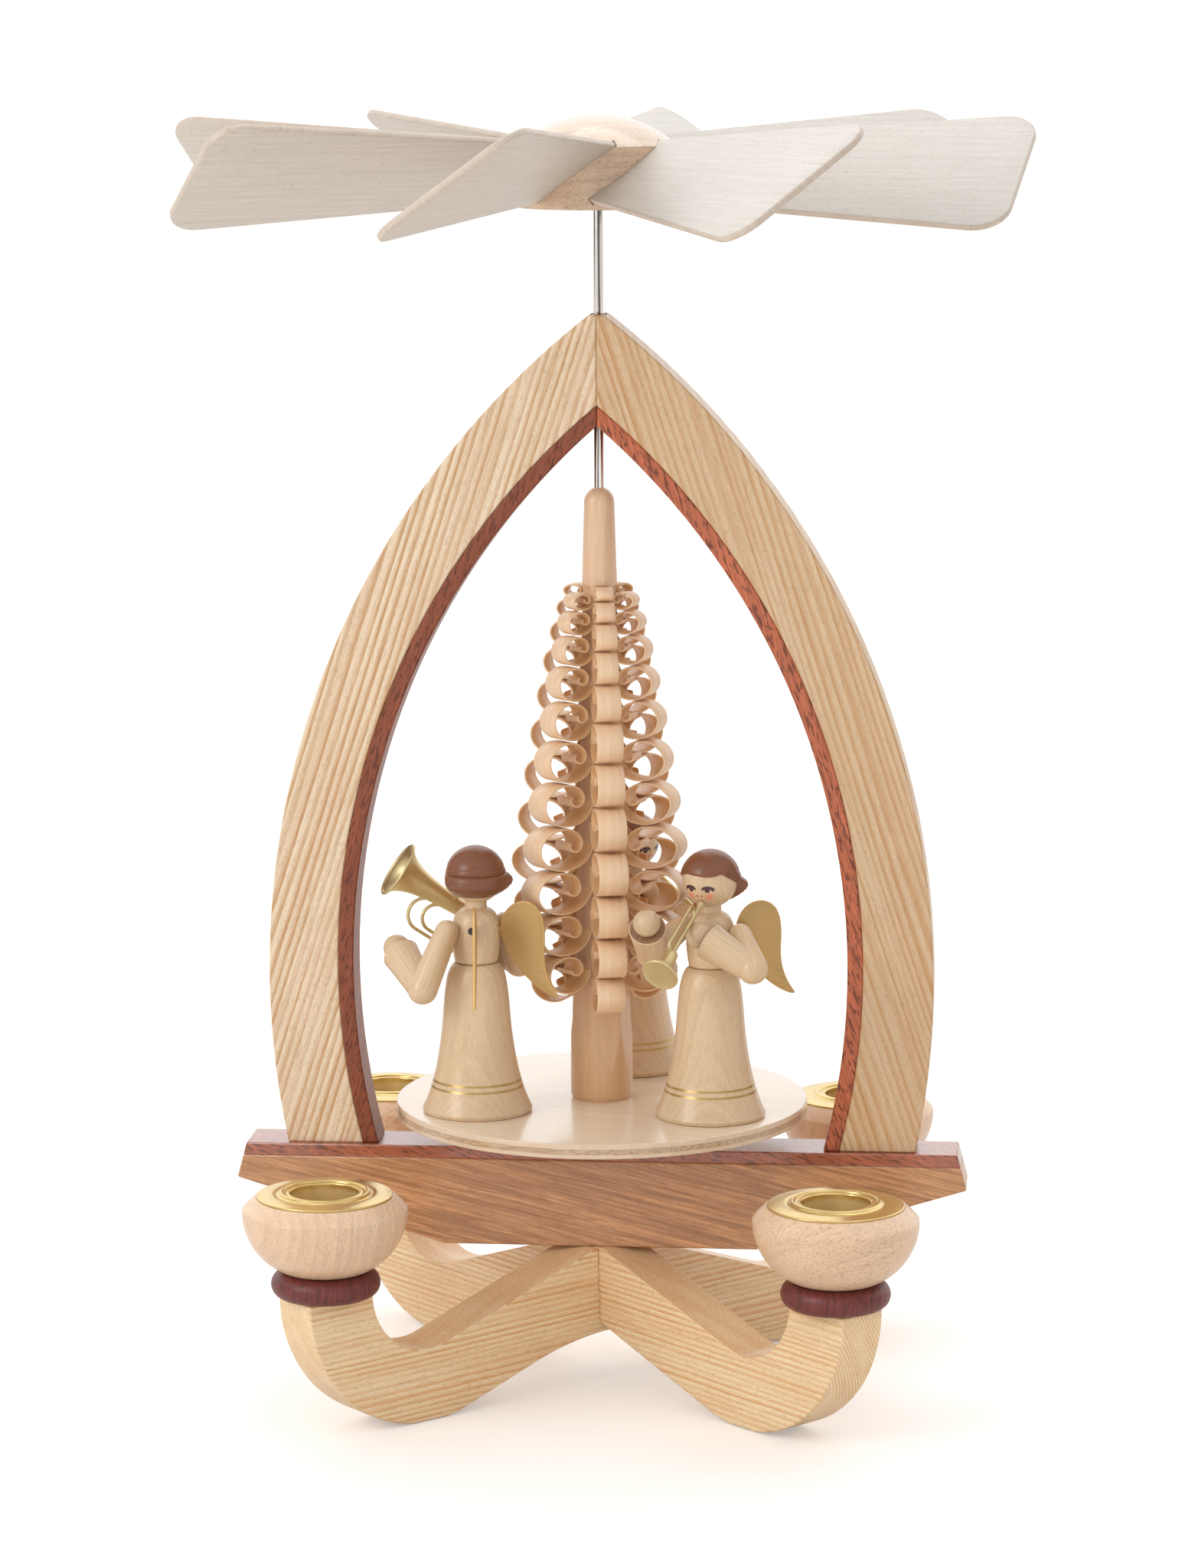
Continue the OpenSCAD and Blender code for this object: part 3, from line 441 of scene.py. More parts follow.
def group(name, inputs, outputs):
    """An empty node group with named inputs, each with its default, and named outputs."""
    tree = bpy.data.node_groups.new(name, "ShaderNodeTree")
    for label, value in inputs.items():
        kind = "NodeSocketVector" if isinstance(value, tuple) else "NodeSocketFloat"
        tree.interface.new_socket(label, in_out="INPUT", socket_type=kind).default_value = value
    for label in outputs:
        tree.interface.new_socket(label, in_out="OUTPUT", socket_type="NodeSocketFloat")
    return Nodes(tree), tree.nodes.new("NodeGroupInput").outputs, tree.nodes.new("NodeGroupOutput").inputs


def grain_group():
    """Wood figure on coordinates in millimetres with X along the grain: rings across Y, fibres, pores and drift."""
    n, take, give = group("wood grain", {
        "Vector": (0, 0, 0), "Ring Gap": 2.5, "Waver": 1.0, "Ring Sharpness": 0.5, "Fibre": 0.35, "Pore": 0.4,
        "Pore Cut": 0.6}, ("Rings", "Fibres", "Pores", "Drift"))
    spot = take["Vector"]
    slow = n.vectors("MULTIPLY", spot, (0.012, 0.11, 0.11))
    wander = n.minus(n.noise(slow), 0.5)
    uneven = n.minus(n.noise(spot, detail=1.0, stretch=(0.002, 0.16, 0.05)), 0.5)
    place = n.maths("DIVIDE", n.axis(spot, "Y"), take["Ring Gap"])
    place = n.plus(n.plus(place, n.times(wander, take["Waver"])), n.times(uneven, 2.6))
    part, peak = n.maths("FRACT", place), 0.16
    ring = n.times(n.span(part, 0.0, peak), n.span(part, peak, n.plus(take["Ring Sharpness"], 0.4), 1.0, 0.0))
    bands = n.noise(spot, detail=1.0, stretch=(0.004, 0.4, 0.15))
    ring = n.times(ring, n.span(bands, 0.3, 0.65, 0.5, 1.2))
    hair = n.vectors("DIVIDE", n.vectors("MULTIPLY", spot, (0.035, 1.0, 1.0)), take["Fibre"])
    fibre = n.noise(hair, detail=3.0, rough=0.6)
    dash = n.vectors("DIVIDE", n.vectors("MULTIPLY", spot, (0.22, 1.0, 1.0)), take["Pore"])
    pore = n.span(n.noise(dash, detail=1.0), take["Pore Cut"], n.plus(take["Pore Cut"], 0.14))
    n.tree.links.new(n.times(ring, n.span(fibre, 0.25, 0.6, 0.55, 1.1)), give["Rings"])
    n.tree.links.new(n.span(fibre, 0.28, 0.72), give["Fibres"])
    n.tree.links.new(pore, give["Pores"])
    n.tree.links.new(n.noise(slow, 2.3), give["Drift"])
    return n.tree


def mark_group():
    """A painted mark: 1 where the stretched distance from its centre is under its radius, with a soft border."""
    n, take, give = group("painted mark", {
        "Vector": (0, 0, 0), "Centre": (0, 0, 0), "Stretch": (1, 1, 1), "Radius": 1.0, "Border": 0.1}, ("Mask",))
    away = n.vectors("MULTIPLY", n.vectors("SUBTRACT", take["Vector"], take["Centre"]), take["Stretch"])
    far = n.put("VectorMath", {0: away}, operation="LENGTH")["Value"]
    radius, border = take["Radius"], take["Border"]
    n.tree.links.new(n.span(far, n.minus(radius, border), n.plus(radius, border), 1.0, 0.0), give["Mask"])
    return n.tree


def gloss_group():
    """Gloss that wanders over a varnished or handled surface: a roughness round its level, from slow and fine noise."""
    n, take, give = group("handled gloss", {"Vector": (0, 0, 0), "Level": 0.4, "Spread": 0.1}, ("Roughness",))
    slow, fine = (n.minus(n.noise(take["Vector"], *kind), 0.5) for kind in ((0.09, 3.0), (1.3, 2.0)))
    sway = n.times(n.plus(slow, n.times(fine, 0.5)), take["Spread"])
    n.tree.links.new(n.maths("MAXIMUM", n.plus(take["Level"], sway), 0.05), give["Roughness"])
    return n.tree


MADE = {}


def once(key, maker, *values):
    """What a maker gives, made on first use."""
    if key not in MADE:
        MADE[key] = maker(*values)
    return MADE[key]


class Finish(Nodes):
    """One material: coordinates in millimetres, a Principled shader, and a bump from a height."""

    def __init__(self, name, along=(1, 0, 0), across=(0, 1, 0), shift=(0, 0, 0), by_run=False):
        self.material = bpy.data.materials.new(name)
        self.material.use_nodes = True
        super().__init__(self.material.node_tree)
        self.shader = self.tree.nodes["Principled BSDF"].inputs
        if by_run:
            source, scale = self.put("UVMap", uv_map="run")[0], 1.0
        else:
            source, scale = self.put("TexCoord")["Object"], 1 / MM
        first = Vector(along).normalized()
        third = first.cross(Vector(across)).normalized()
        turn = Matrix((first, third.cross(first), third)).to_euler("XYZ")
        self.place = self.put("Mapping", {
            "Vector": source, "Location": shift, "Rotation": turn, "Scale": (scale, scale, scale)})[0]

    def feed(self, name, output):
        self.tree.links.new(output, self.shader[name])

    def use(self, maker, values):
        """A shared node group on this finish's coordinates; gives its outputs."""
        return self.put("Group", {"Vector": self.place, **values}, node_tree=once(maker, maker))

    def side(self):
        return self.put("Attribute", attribute_name="side")["Fac"]

    def mark(self, **values):
        return self.use(mark_group, values)["Mask"]

    def band(self, height, radius, border):
        """A level line round a piece."""
        return self.mark(Centre=(0, 0, height), Stretch=(0, 0, 1), Radius=radius, Border=border)

    def wood(self, light, ring, dark, gap, waver, sharpness, fibre, pore, cut, shares):
        """Wood colours laid over each other: growth rings, slow drift, fine fibres and pores, each by its share."""
        g = self.figure = self.use(grain_group, {
            "Ring Gap": gap, "Waver": waver, "Ring Sharpness": sharpness, "Fibre": fibre, "Pore": pore,
            "Pore Cut": cut})
        rings, drift, fibres, pores = shares
        c = self.mixed(self.times(g["Rings"], rings), light, ring)
        c = self.mixed(self.span(g["Drift"], 0.35, 0.75, 0.0, drift), c, ring)
        c = self.mixed(self.times(g["Fibres"], fibres), c, dark)
        return self.mixed(self.times(g["Pores"], pores), c, dark)

    def relief(self, first, second="Pores"):
        """The height of two parts of the wood's figure together."""
        return self.plus(self.figure[first], self.figure[second])

    def done(self, colour, gloss, height=None, bump=None, coat=(0.0, 0.03), **constants):
        """Feeds the shader: its colour, a roughness of a level and a spread, a bump of a strength and a depth, and a
        coat of a weight and a roughness."""
        self.feed("Base Color", colour)
        self.feed("Roughness", self.use(gloss_group, {"Level": gloss[0], "Spread": gloss[1]})["Roughness"])
        if height is not None:
            self.feed("Normal", self.put("Bump", {"Height": height, "Strength": bump[0], "Distance": bump[1] * MM})[0])
        self.shader["Coat Weight"].default_value, self.shader["Coat Roughness"].default_value = coat
        for key, value in constants.items():
            self.shader[key.replace("_", " ").title().replace("Ior", "IOR")].default_value = value
        return self.material


def finish(name):
    """A finish by its name."""
    return once(name, *MAKERS[name])


def ash_finish(name, along, across, shift, light, ring, closer, rings):
    """Ash of two tones with sharp rings, which closer narrows, and open pores."""
    f = Finish(name, along, across, shift)
    light, ring = getattr(woods(), light), getattr(woods(), ring)
    c = f.wood(light, ring, scaled(ring, 0.62), mm("ring_gap") * closer, 0.9, 0.4, 0.24, 0.28, 0.54,
               (rings, 0.4 * rings, 0.26 * rings, 0.26))
    return f.done(c, (0.38, 0.14), f.relief("Rings"), (0.2, 0.06), coat=(0.3, 0.2))


def strip_finish(name, along, across, level, coat, index):
    """Dark red-brown wood with short flecks; its level lightens or darkens the whole strip, on the arch strips as
    painted light and shade.
    """
    f, w = Finish(name, along, across), woods()
    c = f.wood(scaled(w.strip, 1.2 * level), scaled(w.strip, level), w.strip_fleck, 2.4, 2.4, 0.5, 0.34, 0.5, 0.52,
               (0.8, 0.4, 0.45, 0.75))
    return f.done(c, (0.4, 0.16), f.relief("Fibres"), (0.25, 0.06), coat=(coat, 0.16),
                  coat_ior=index, specular_ior_level=0.3)


def heart_finish():
    """Brown wood with long, wandering streaks."""
    f, w = Finish("brown heartwood", (1, 0, -0.24), (0.24, 0.5, 1)), woods()
    c = f.wood(scaled(w.heart, 1.5), w.heart, w.heart_streak, 7.0, 9.0, 0.6, 0.55, 0.5, 0.54, (1.0, 0.8, 0.6, 0.25))
    return f.done(c, (0.36, 0.14), f.relief("Fibres"), (0.22, 0.06), coat=(0.5, 0.18))


def beech_finish(name, along, across, gap, streak, fleck, level=1.0, coat=0.35, index=1.5):
    """Beech with faint rings and small dashes."""
    f, w = Finish(name, along, across), woods()
    c = f.wood(scaled(w.beech, 1.1 * level), scaled(w.beech, 0.9 * level), scaled(w.beech_fleck, level), gap, 1.0, 0.5,
               0.3, 0.3, 0.54, (streak, 0.4, 0.22, fleck))
    return f.done(c, (0.38, 0.12), f.relief("Fibres"), (0.12, 0.03), coat=(coat, 0.14),
                  coat_ior=index)


def burgundy_finish():
    """Stain that is darker in the fibres."""
    f, c = Finish("burgundy stain", (0.1, 0, 1), (1, 0.3, 0)), woods().burgundy
    tint = f.wood(scaled(c, 1.6), c, scaled(c, 0.4), 1.6, 1.0, 0.5, 0.4, 0.5, 0.54, (0.8, 0.3, 0.5, 0.6))
    return f.done(tint, (0.46, 0.12), f.figure["Fibres"], (0.2, 0.05), coat=(0.12, 0.3))


def brass_finish(name, paint, level, spread, dull, cup=None):
    """Metal with fine turning lines round Z and slow dull patches; pale and dull below the height of a cup's rim."""
    f, rgb = Finish(name), getattr(finishes(), paint)
    c = f.mixed(f.span(f.noise(f.place, 0.16), 0.4, 0.75, 0.0, dull), rgb, scaled(rgb, 0.55))
    if cup:
        height = f.axis(f.place, "Z")
        c = f.mixed(f.span(height, cup - 1.2, cup, 0.6, 0.0), c, [v ** 0.6 for v in rgb])
        f.feed("Metallic", f.span(height, cup - 1.2, cup, 0.6, 1.0))
    return f.done(c, (level, spread), f.noise(f.place, stretch=(0.3, 0.3, 5.0)), (0.04, 0.01), metallic=1.0)


def steel_finish():
    """Metal with dark lines along Z: the rod's drawing marks, painted dark as a painted reflection of dark
    surroundings.
    """
    f, rgb = Finish("drawn steel"), finishes().steel
    # Thin dark bands along the rod: painted reflection.
    lines = f.noise(f.place, stretch=(1.3, 1.3, 0.02))
    c = f.mixed(f.span(lines, 0.46, 0.54, 0.0, 0.95), rgb, scaled(rgb, 0.12))
    return f.done(c, (0.18, 0.1), lines, (0.2, 0.02), metallic=1.0)


def glass_finish():
    f = Finish("bearing glass")
    c = f.mixed(f.noise(f.place, 0.5), tone(214, 230, 226), tone(196, 218, 214))
    return f.done(c, (0.12, 0.05), transmission_weight=0.8)


def birch_finish():
    """Pale veneer along the run of each blade, with dark specks; its cut edges show the plies."""
    f, w = Finish("birch veneer", by_run=True), woods()
    c = f.wood(scaled(w.birch, 1.04), scaled(w.birch, 0.93), w.birch_line, 2.2, 1.6, 0.6, 0.4, 0.3, 0.6,
               (0.6, 0.4, 0.2, 0.45))
    c = f.mixed(f.times(f.side(), 0.28), c, w.ply_core)
    return f.done(c, (0.46, 0.12), f.relief("Fibres"), (0.2, 0.05), coat=(0.2, 0.3))


def table_finish():
    """Three plies: a tan face with faint grain along X, and a brown core that shows at the edge."""
    f, w = Finish("turntable plywood", (1, -0.25, 0), (0.25, 1, 0)), woods()
    c = f.wood(scaled(w.table, 1.06), scaled(w.table, 0.95), w.birch_line, 3.4, 2.2, 0.6, 0.5, 0.3, 0.6,
               (0.8, 0.4, 0.2, 0.2))
    c = f.mixed(f.times(f.side(), 0.4), c, w.ply_core)
    core = f.times(f.band(CORE_Z, 0.62, 0.1), f.span(f.figure["Fibres"], 0.1, 0.9, 0.5, 0.9))
    c = f.mixed(core, c, scaled(w.ply_core, 0.74))
    return f.done(c, (0.36, 0.14), f.relief("Fibres"), (0.15, 0.04), coat=(1.0, 0.16))


def shaving_finish():
    """Shaved lime wood along each ribbon: pale outside, light cut edges; the darker honey colour inside is painted
    shade and a painted glow of light through the thin shaving.
    """
    f, w = Finish("shaved lime wood", by_run=True), woods()
    c = f.wood(w.lime, scaled(w.lime, 0.88), w.lime_inside_shade, 1.1, 1.2, 0.6, 0.3, 0.3, 0.6, (0.6, 0.4, 0.45, 0.3))
    # The side mask darkens the inner face to honey: painted shade of the curl's inside and painted glow through the
    # wood.
    c = f.mixed(f.times(f.side(), f.span(f.figure["Fibres"], 0.0, 1.0, 0.6, 1.0)), c, w.lime_inside_shade)
    return f.done(c, (0.42, 0.12), f.figure["Fibres"], (0.25, 0.05), coat=(0.25, 0.25))


def trunk_finish():
    """Lime wood with upright grain, darker and redder at the foot."""
    f, w = Finish("turned lime wood", (0, 0, 1), (1, 0.3, 0)), woods()
    c = f.wood(scaled(w.trunk, 1.12), scaled(w.trunk, 0.92), scaled(w.trunk, 0.6), 2.0, 1.2, 0.6, 0.3, 0.35, 0.6,
               (0.6, 0.4, 0.25, 0.2))
    foot = f.span(f.axis(f.put("TexCoord")["Object"], "Z"), TABLE_Z * MM, (TABLE_Z + 60) * MM, 0.5, 0.0)
    c = f.mixed(foot, c, [v * k for v, k in zip(w.trunk, (0.74, 0.58, 0.36))])
    return f.done(c, (0.4, 0.12), f.figure["Fibres"], (0.25, 0.05), coat=(0.3, 0.25))


def maple_wood(f, light=1.1, upright=False):
    """Maple grain along the piece's run, or upright."""
    w, own = woods(), f.place
    if upright:
        f.place = f.put("Mapping", {"Vector": own, "Rotation": (0, math.radians(90), 0)})[0]
    c = f.wood(scaled(w.maple, light), scaled(w.maple, 0.88), w.maple_line, 1.2, 0.9, 0.55, 0.24, 0.26, 0.58,
               (0.45, 0.4, 0.34, 0.16))
    f.place = own
    return c


def body_finish(angel):
    """Maple with upright grain, two gold lines round the hem, a dark waist groove, and two wing holes painted as dark
    spots of painted shade.
    """
    f, p = Finish(angel + " body maple"), finishes()
    c = maple_wood(f, upright=True)
    fibres = f.figure["Fibres"]
    waist = f.times(f.band(TABLE_Z + WAIST_Z, 0.14, 0.12), f.span(fibres, 0, 1, 0.6, 0.9))
    c = f.mixed(waist, c, scaled(woods().maple_line, 0.5))
    lines = f.maths("MAXIMUM", *(f.band(TABLE_Z + height, mm("hem_line"), 0.07) for height in HEM_LINES_Z))
    lines = f.times(lines, f.span(fibres, 0, 1, 0.8, 1.0))
    c = f.mixed(lines, c, p.line)
    f.feed("Metallic", lines)
    # The wing holes are dark spots painted on the body: painted shade for the inside of each hole.
    for side in (-1, 1):
        a = math.radians(180 + side * (WING_TURN[angel] + 9))
        centre = on_table(np.array([BACK_R * math.cos(a), BACK_R * math.sin(a), WING_HOLE_Z]), angel)
        c = f.mixed(f.mark(Centre=tuple(centre), Radius=0.8, Border=0.12), c, p.hole_shade)
    return f.done(c, (0.36, 0.12), f.relief("Fibres", "Rings"), (0.15, 0.04), coat=(0.3, 0.2))


def head_finish(angel):
    """A maple ball with a simple painted doll's face: lowered lashes, cheeks, two nose dots and a mouth."""
    turn = ANGELS[angel][1] + FACE_TURN[angel]
    shift = -about_z(on_table(np.array([0, 0, HEAD_Z]), angel), -turn)
    ahead, left = about_z(np.eye(3)[:2], turn)
    f, p = Finish(angel + " head maple", ahead, left, shift), finishes()
    c = maple_wood(f, 1.08, upright=True)

    def spot(azimuth, height, radius, border, stretch=(1, 1, 1)):
        a, e = math.radians(azimuth), math.radians(height)
        centre = (math.cos(e) * math.cos(a), math.cos(e) * math.sin(a), math.sin(e))
        return f.mark(Centre=[HEAD_R * v for v in centre], Stretch=stretch, Radius=radius, Border=border)

    for side in (-1, 1):
        c = f.mixed(f.times(spot(23 * side, -29, 0.8, 0.4), 0.8), c, p.cheek)
        lid = spot(20 * side, -12, 0.97, 0.08, (0.5, 0.7, 1.3))
        under = spot(19 * side, -19, 0.82, 0.08, (0.5, 0.66, 1.1))
        eye = spot(18.5 * side, -14.5, 0.58, 0.08, (0.5, 1.1, 1.3))
        c = f.mixed(f.maths("MAXIMUM", f.times(lid, f.minus(1.0, under)), eye), c, p.lash)
        c = f.mixed(spot(5 * side, -28, 0.27, 0.07), c, p.lips)
    c = f.mixed(spot(0, -42, 0.42, 0.08, (0.6, 0.7, 1.3)), c, p.lips)
    return f.done(c, (0.34, 0.1), f.figure["Fibres"], (0.12, 0.03), coat=(0.3, 0.2))


def limb_finish():
    """Maple along each arm's own run."""
    f = Finish("arm maple", by_run=True)
    c = maple_wood(f)
    return f.done(c, (0.36, 0.12), f.figure["Fibres"], (0.15, 0.04), coat=(0.4, 0.2))


def sleeve_end_finish():
    """End grain of a cut sleeve: dark, dull and finely mottled."""
    f, rgb = Finish("sleeve end grain"), woods().end_grain
    mottle = f.noise(f.place, 3.2, 3.0, 0.65)
    return f.done(f.mixed(f.span(mottle, 0.35, 0.65), rgb, scaled(rgb, 0.62)), (0.55, 0.1), mottle, (0.25, 0.04))


def hand_finish():
    f = Finish("hand maple", (0.3, 0.2, 1), (1, 0, 0))
    c = maple_wood(f, 1.03)
    return f.done(c, (0.34, 0.1), f.figure["Fibres"], (0.12, 0.03), coat=(0.3, 0.2))


def hair_finish():
    """Thick brown paint: slow changes of tone, faint brush lines round the head and a soft gloss."""
    f, rgb = Finish("hair paint"), finishes().hair
    lines = f.noise(f.place, detail=3.0, stretch=(0.5, 0.5, 4.0))
    c = f.mixed(f.span(f.noise(f.place, 0.3, 3.0), 0.35, 0.7, 0.0, 0.6), rgb, scaled(rgb, 0.78))
    c = f.mixed(f.span(lines, 0.5, 0.75, 0.0, 0.35), c, scaled(rgb, 1.35))
    return f.done(c, (0.36, 0.12), lines, (0.18, 0.05), coat=(0.2, 0.2))


def gold_finish():
    """Gold paint with fine metal flakes, painted brighter on the rounded edges as a painted highlight along the rim."""
    f, rgb = Finish("gold paint"), finishes().gold
    flake = f.noise(f.place, 7.0, 2.0, 0.7)
    c = f.mixed(f.span(flake, 0.35, 0.7, 0.0, 0.7), rgb, scaled(rgb, 0.68))
    # Painted highlight: the rim of each wing is painted lighter gold where light catches the rounded edge.
    c = f.mixed(f.times(f.side(), 0.8), c, scaled(rgb, 1.5))
    return f.done(c, (0.46, 0.14), flake, (0.25, 0.02), metallic=0.55)


# Each finish: what makes it, and its own name, grain directions and values
MAKERS = {
    "ash left": (ash_finish, "ash of the left arch", (0.31, 0, 0.95), (-0.95, 0.2, 0.31), (4, 11, 3),
                 "ash", "ash_ring", 1.0, 0.85),
    # The right arch half takes the darker ash, painted shade.
    "ash right": (ash_finish, "ash of the right arch", (-0.31, 0, 0.95), (0.95, 0.2, 0.31), (40, 7, 29),
                  "ash_right", "ash_ring", 1.0, 0.85),
    "ash lower": (ash_finish, "ash of the lower board", (0.731, 0.682, 0.02), (1.0, -1.07, 1), (9, 2, 17),
                  "board", "board_ring", 0.42, 0.75),
    "ash upper": (ash_finish, "ash of the upper board", (0.731, -0.682, -0.02), (1.0, 1.07, 1), (33, 5, 8),
                  "board", "board_ring", 0.42, 0.75),
    # The arch strips' levels are painted light: the right strip's high level paints a highlight and sheen of the left
    # light on its inner face, and the left strip's low level paints shade.
    "strip left": (strip_finish, "dark strip of the left arch", (0.3, 0, 0.95), (-0.95, 0.3, 0.3), 0.85, 0.1, 1.5),
    "strip right": (strip_finish, "dark strip of the right arch", (-0.3, 0, 0.95), (0.95, 0.3, 0.3), 1.75, 0.2, 1.5),
    "strip beam": (strip_finish, "dark strip of the beam", (1, 0, -0.4), (0.4, 0.4, 1), 1.35, 1.0, 1.7),
    "heart": (heart_finish,),
    "beech upright": (beech_finish, "beech with upright grain", (0.06, 0, 1), (1, 0.4, 0), 2.4, 0.6, 0.25),
    "beech level": (beech_finish, "beech with level grain", (1, 0.4, 0.3), (0, 0.3, 1), 3.4, 0.5, 0.5),
    "beech hub": (beech_finish, "beech of the hub", (1, 0.2, 0.05), (0, 0.3, 1), 2.2, 0.8, 0.5, 0.86, 1.0, 1.9),
    "burgundy": (burgundy_finish,),
    "brass": (brass_finish, "polished brass", "brass", 0.26, 0.08, 0.15, CUP_RIM_Z),
    "horn brass": (brass_finish, "dull brass", "horn", 0.42, 0.1, 0.25),
    "steel": (steel_finish,),
    "glass": (glass_finish,),
    "birch": (birch_finish,),
    "table": (table_finish,),
    "shaving": (shaving_finish,),
    "trunk": (trunk_finish,),
    "limb": (limb_finish,),
    "sleeve end": (sleeve_end_finish,),
    "hand": (hand_finish,),
    "hair": (hair_finish,),
    "gold": (gold_finish,),
    **{angel + " body": (body_finish, angel) for angel in ANGELS},
    **{angel + " head": (head_finish, angel) for angel in ANGELS},
}


# Operators, one for each group of like pieces

class PYRAMID_OT_base_cross(bpy.types.Operator):
    """Two ash boards with eased edges, grain along the arms"""
    bl_idname = "pyramid.base_cross"
    bl_label = "Base Cross"

    def execute(self, context):
        eased("base_board_lower", "lower_board", STAND, finish("ash lower"))
        eased("base_board_upper", "upper_board", STAND, finish("ash upper"))
        dress("beam_screw", finish("steel"))
        return {"FINISHED"}


class PYRAMID_OT_candle_holders(bpy.types.Operator):
    """Burgundy rings, turned bowls and pressed brass inserts on the four arm ends"""
    bl_idname = "pyramid.candle_holders"
    bl_label = "Candle Holders"

    def execute(self, context):
        # Profiles of radius and height: a round-edged ring, a round bowl, and an insert with a beaded flange and a cup
        ring_r, half = 11.45, (BOWL_Z - RING_Z) / 2
        ring = joined([(0, RING_Z)], arc((ring_r - half, RING_Z + half), half, -90, 90, 25), [(0, BOWL_Z)])
        start = math.degrees(math.atan2(-12.9, 8.6 - 3.4))
        bowl = joined(
            [(0, BOWL_Z), (8.2, BOWL_Z)], arc((3.4, 48.4), 13.9, start + 1.5, -3, 30),
            arc((16.6, 48.35), 0.7, -3, 40, 6),
            bezier([(17.0, 48.95), (16.3, 49.8), (15.3, 50.7), (14.75, 51.15)], 8),
            arc((14.5, 51.0), 0.3, 35, 90, 4), [(14.1, 51.3), (7.75, 51.3), (7.75, 38.3), (0, 38.3)])
        insert = joined(
            [(0, 38.35), (7.0, 38.35)], arc((7.0, 39.05), 0.7, -90, 0, 5), [(7.7, 51.25), (13.95, 51.25)],
            arc((14.0, 51.5), 0.25, -90, 90, 7),
            bezier([(13.9, 51.75), (13.0, 51.9), (12.0, 52.0), (10.9, 52.02)], 8),
            bezier([(10.9, 52.02), (10.5, 52.0), (10.3, 51.85), (9.95, 51.88)], 6),
            arc((9.0, 51.95), 0.6, 20, 165, 12),
            bezier([(8.35, 52.1), (8.0, 52.0), (7.75, 52.1), (7.55, 52.2)], 6),
            arc((7.55, 51.85), 0.35, 90, 180, 6), [(7.2, 40.2)], arc((5.8, 40.2), 1.4, 0, -90, 8), [(0, 38.8)])
        for i in HOLDERS:
            beech = "beech upright" if i in (1, 3) else "beech level"
            Shell().grid(on_arm(turned(ring, 120), i)).build(
                f"ring_{i}", STAND, finish("burgundy"), [f"spacer_ring_{i}"], "burgundy_stain")
            Shell().grid(on_arm(turned(bowl, 144), i)).build(
                f"bowl_{i}", STAND, finish(beech), [f"candle_bowl_{i}"], "beech")
            Shell().grid(on_arm(turned(insert, 144), i)).build(
                f"insert_{i}", STAND, finish("brass"), [f"candle_insert_{i}"], "brass")
        dress("bowl_dowels", finish("beech upright"))
        return {"FINISHED"}


class PYRAMID_OT_beam_and_arch(bpy.types.Operator):
    """The brown beam, the ash arch halves and their dark strips, with eased edges"""
    bl_idname = "pyramid.beam_and_arch"
    bl_label = "Beam and Arch"

    def execute(self, context):
        eased("cross_beam", "beam", STAND, finish("heart"))
        eased("beam_top_strip", "beam_strip", STAND, finish("strip beam"))
        for side in ("left", "right"):
            eased(f"arch_{side}", f"{side}_arch", STAND, finish(f"ash {side}"))
            eased(f"arch_strip_{side}", f"{side}_arch_strip", STAND, finish(f"strip {side}"))
        dress("leg_dowels", finish("beech upright"))
        dress("bearing_cup", finish("glass"))
        dress("guide_bush", finish("brass"))
        return {"FINISHED"}


class PYRAMID_OT_turntable(bpy.types.Operator):
    """The steel shaft and the three-ply disc"""
    bl_idname = "pyramid.turntable"
    bl_label = "Shaft and Turntable"

    def execute(self, context):
        low, ease, count = TABLE_Z - TABLE_T, 0.35, 180
        edge = joined([(BORE_R, low), (TABLE_R - ease, low)], arc((TABLE_R - ease, low + ease), ease, -90, 0, 6),
                      arc((TABLE_R - ease, TABLE_Z - ease), ease, 0, 90, 6), [(BORE_R, TABLE_Z), (BORE_R, low)])
        shade = (np.abs(edge[:, 0] - TABLE_R) < 0.2).astype(float)
        Shell().grid(turned(edge, count), shade=np.repeat(shade, count)).build(
            "turntable_disc", CAROUSEL, finish("table"), ["turntable"], "birch_ply", sharp=50)
        rod = [(0, 45.35), (SHAFT_R, 47.35), (SHAFT_R, 264.8), (0, 264.8)]
        Shell().grid(turned(rod, 48)).build("shaft_rod", CAROUSEL, finish("steel"), ["shaft"], "steel")
        return {"FINISHED"}


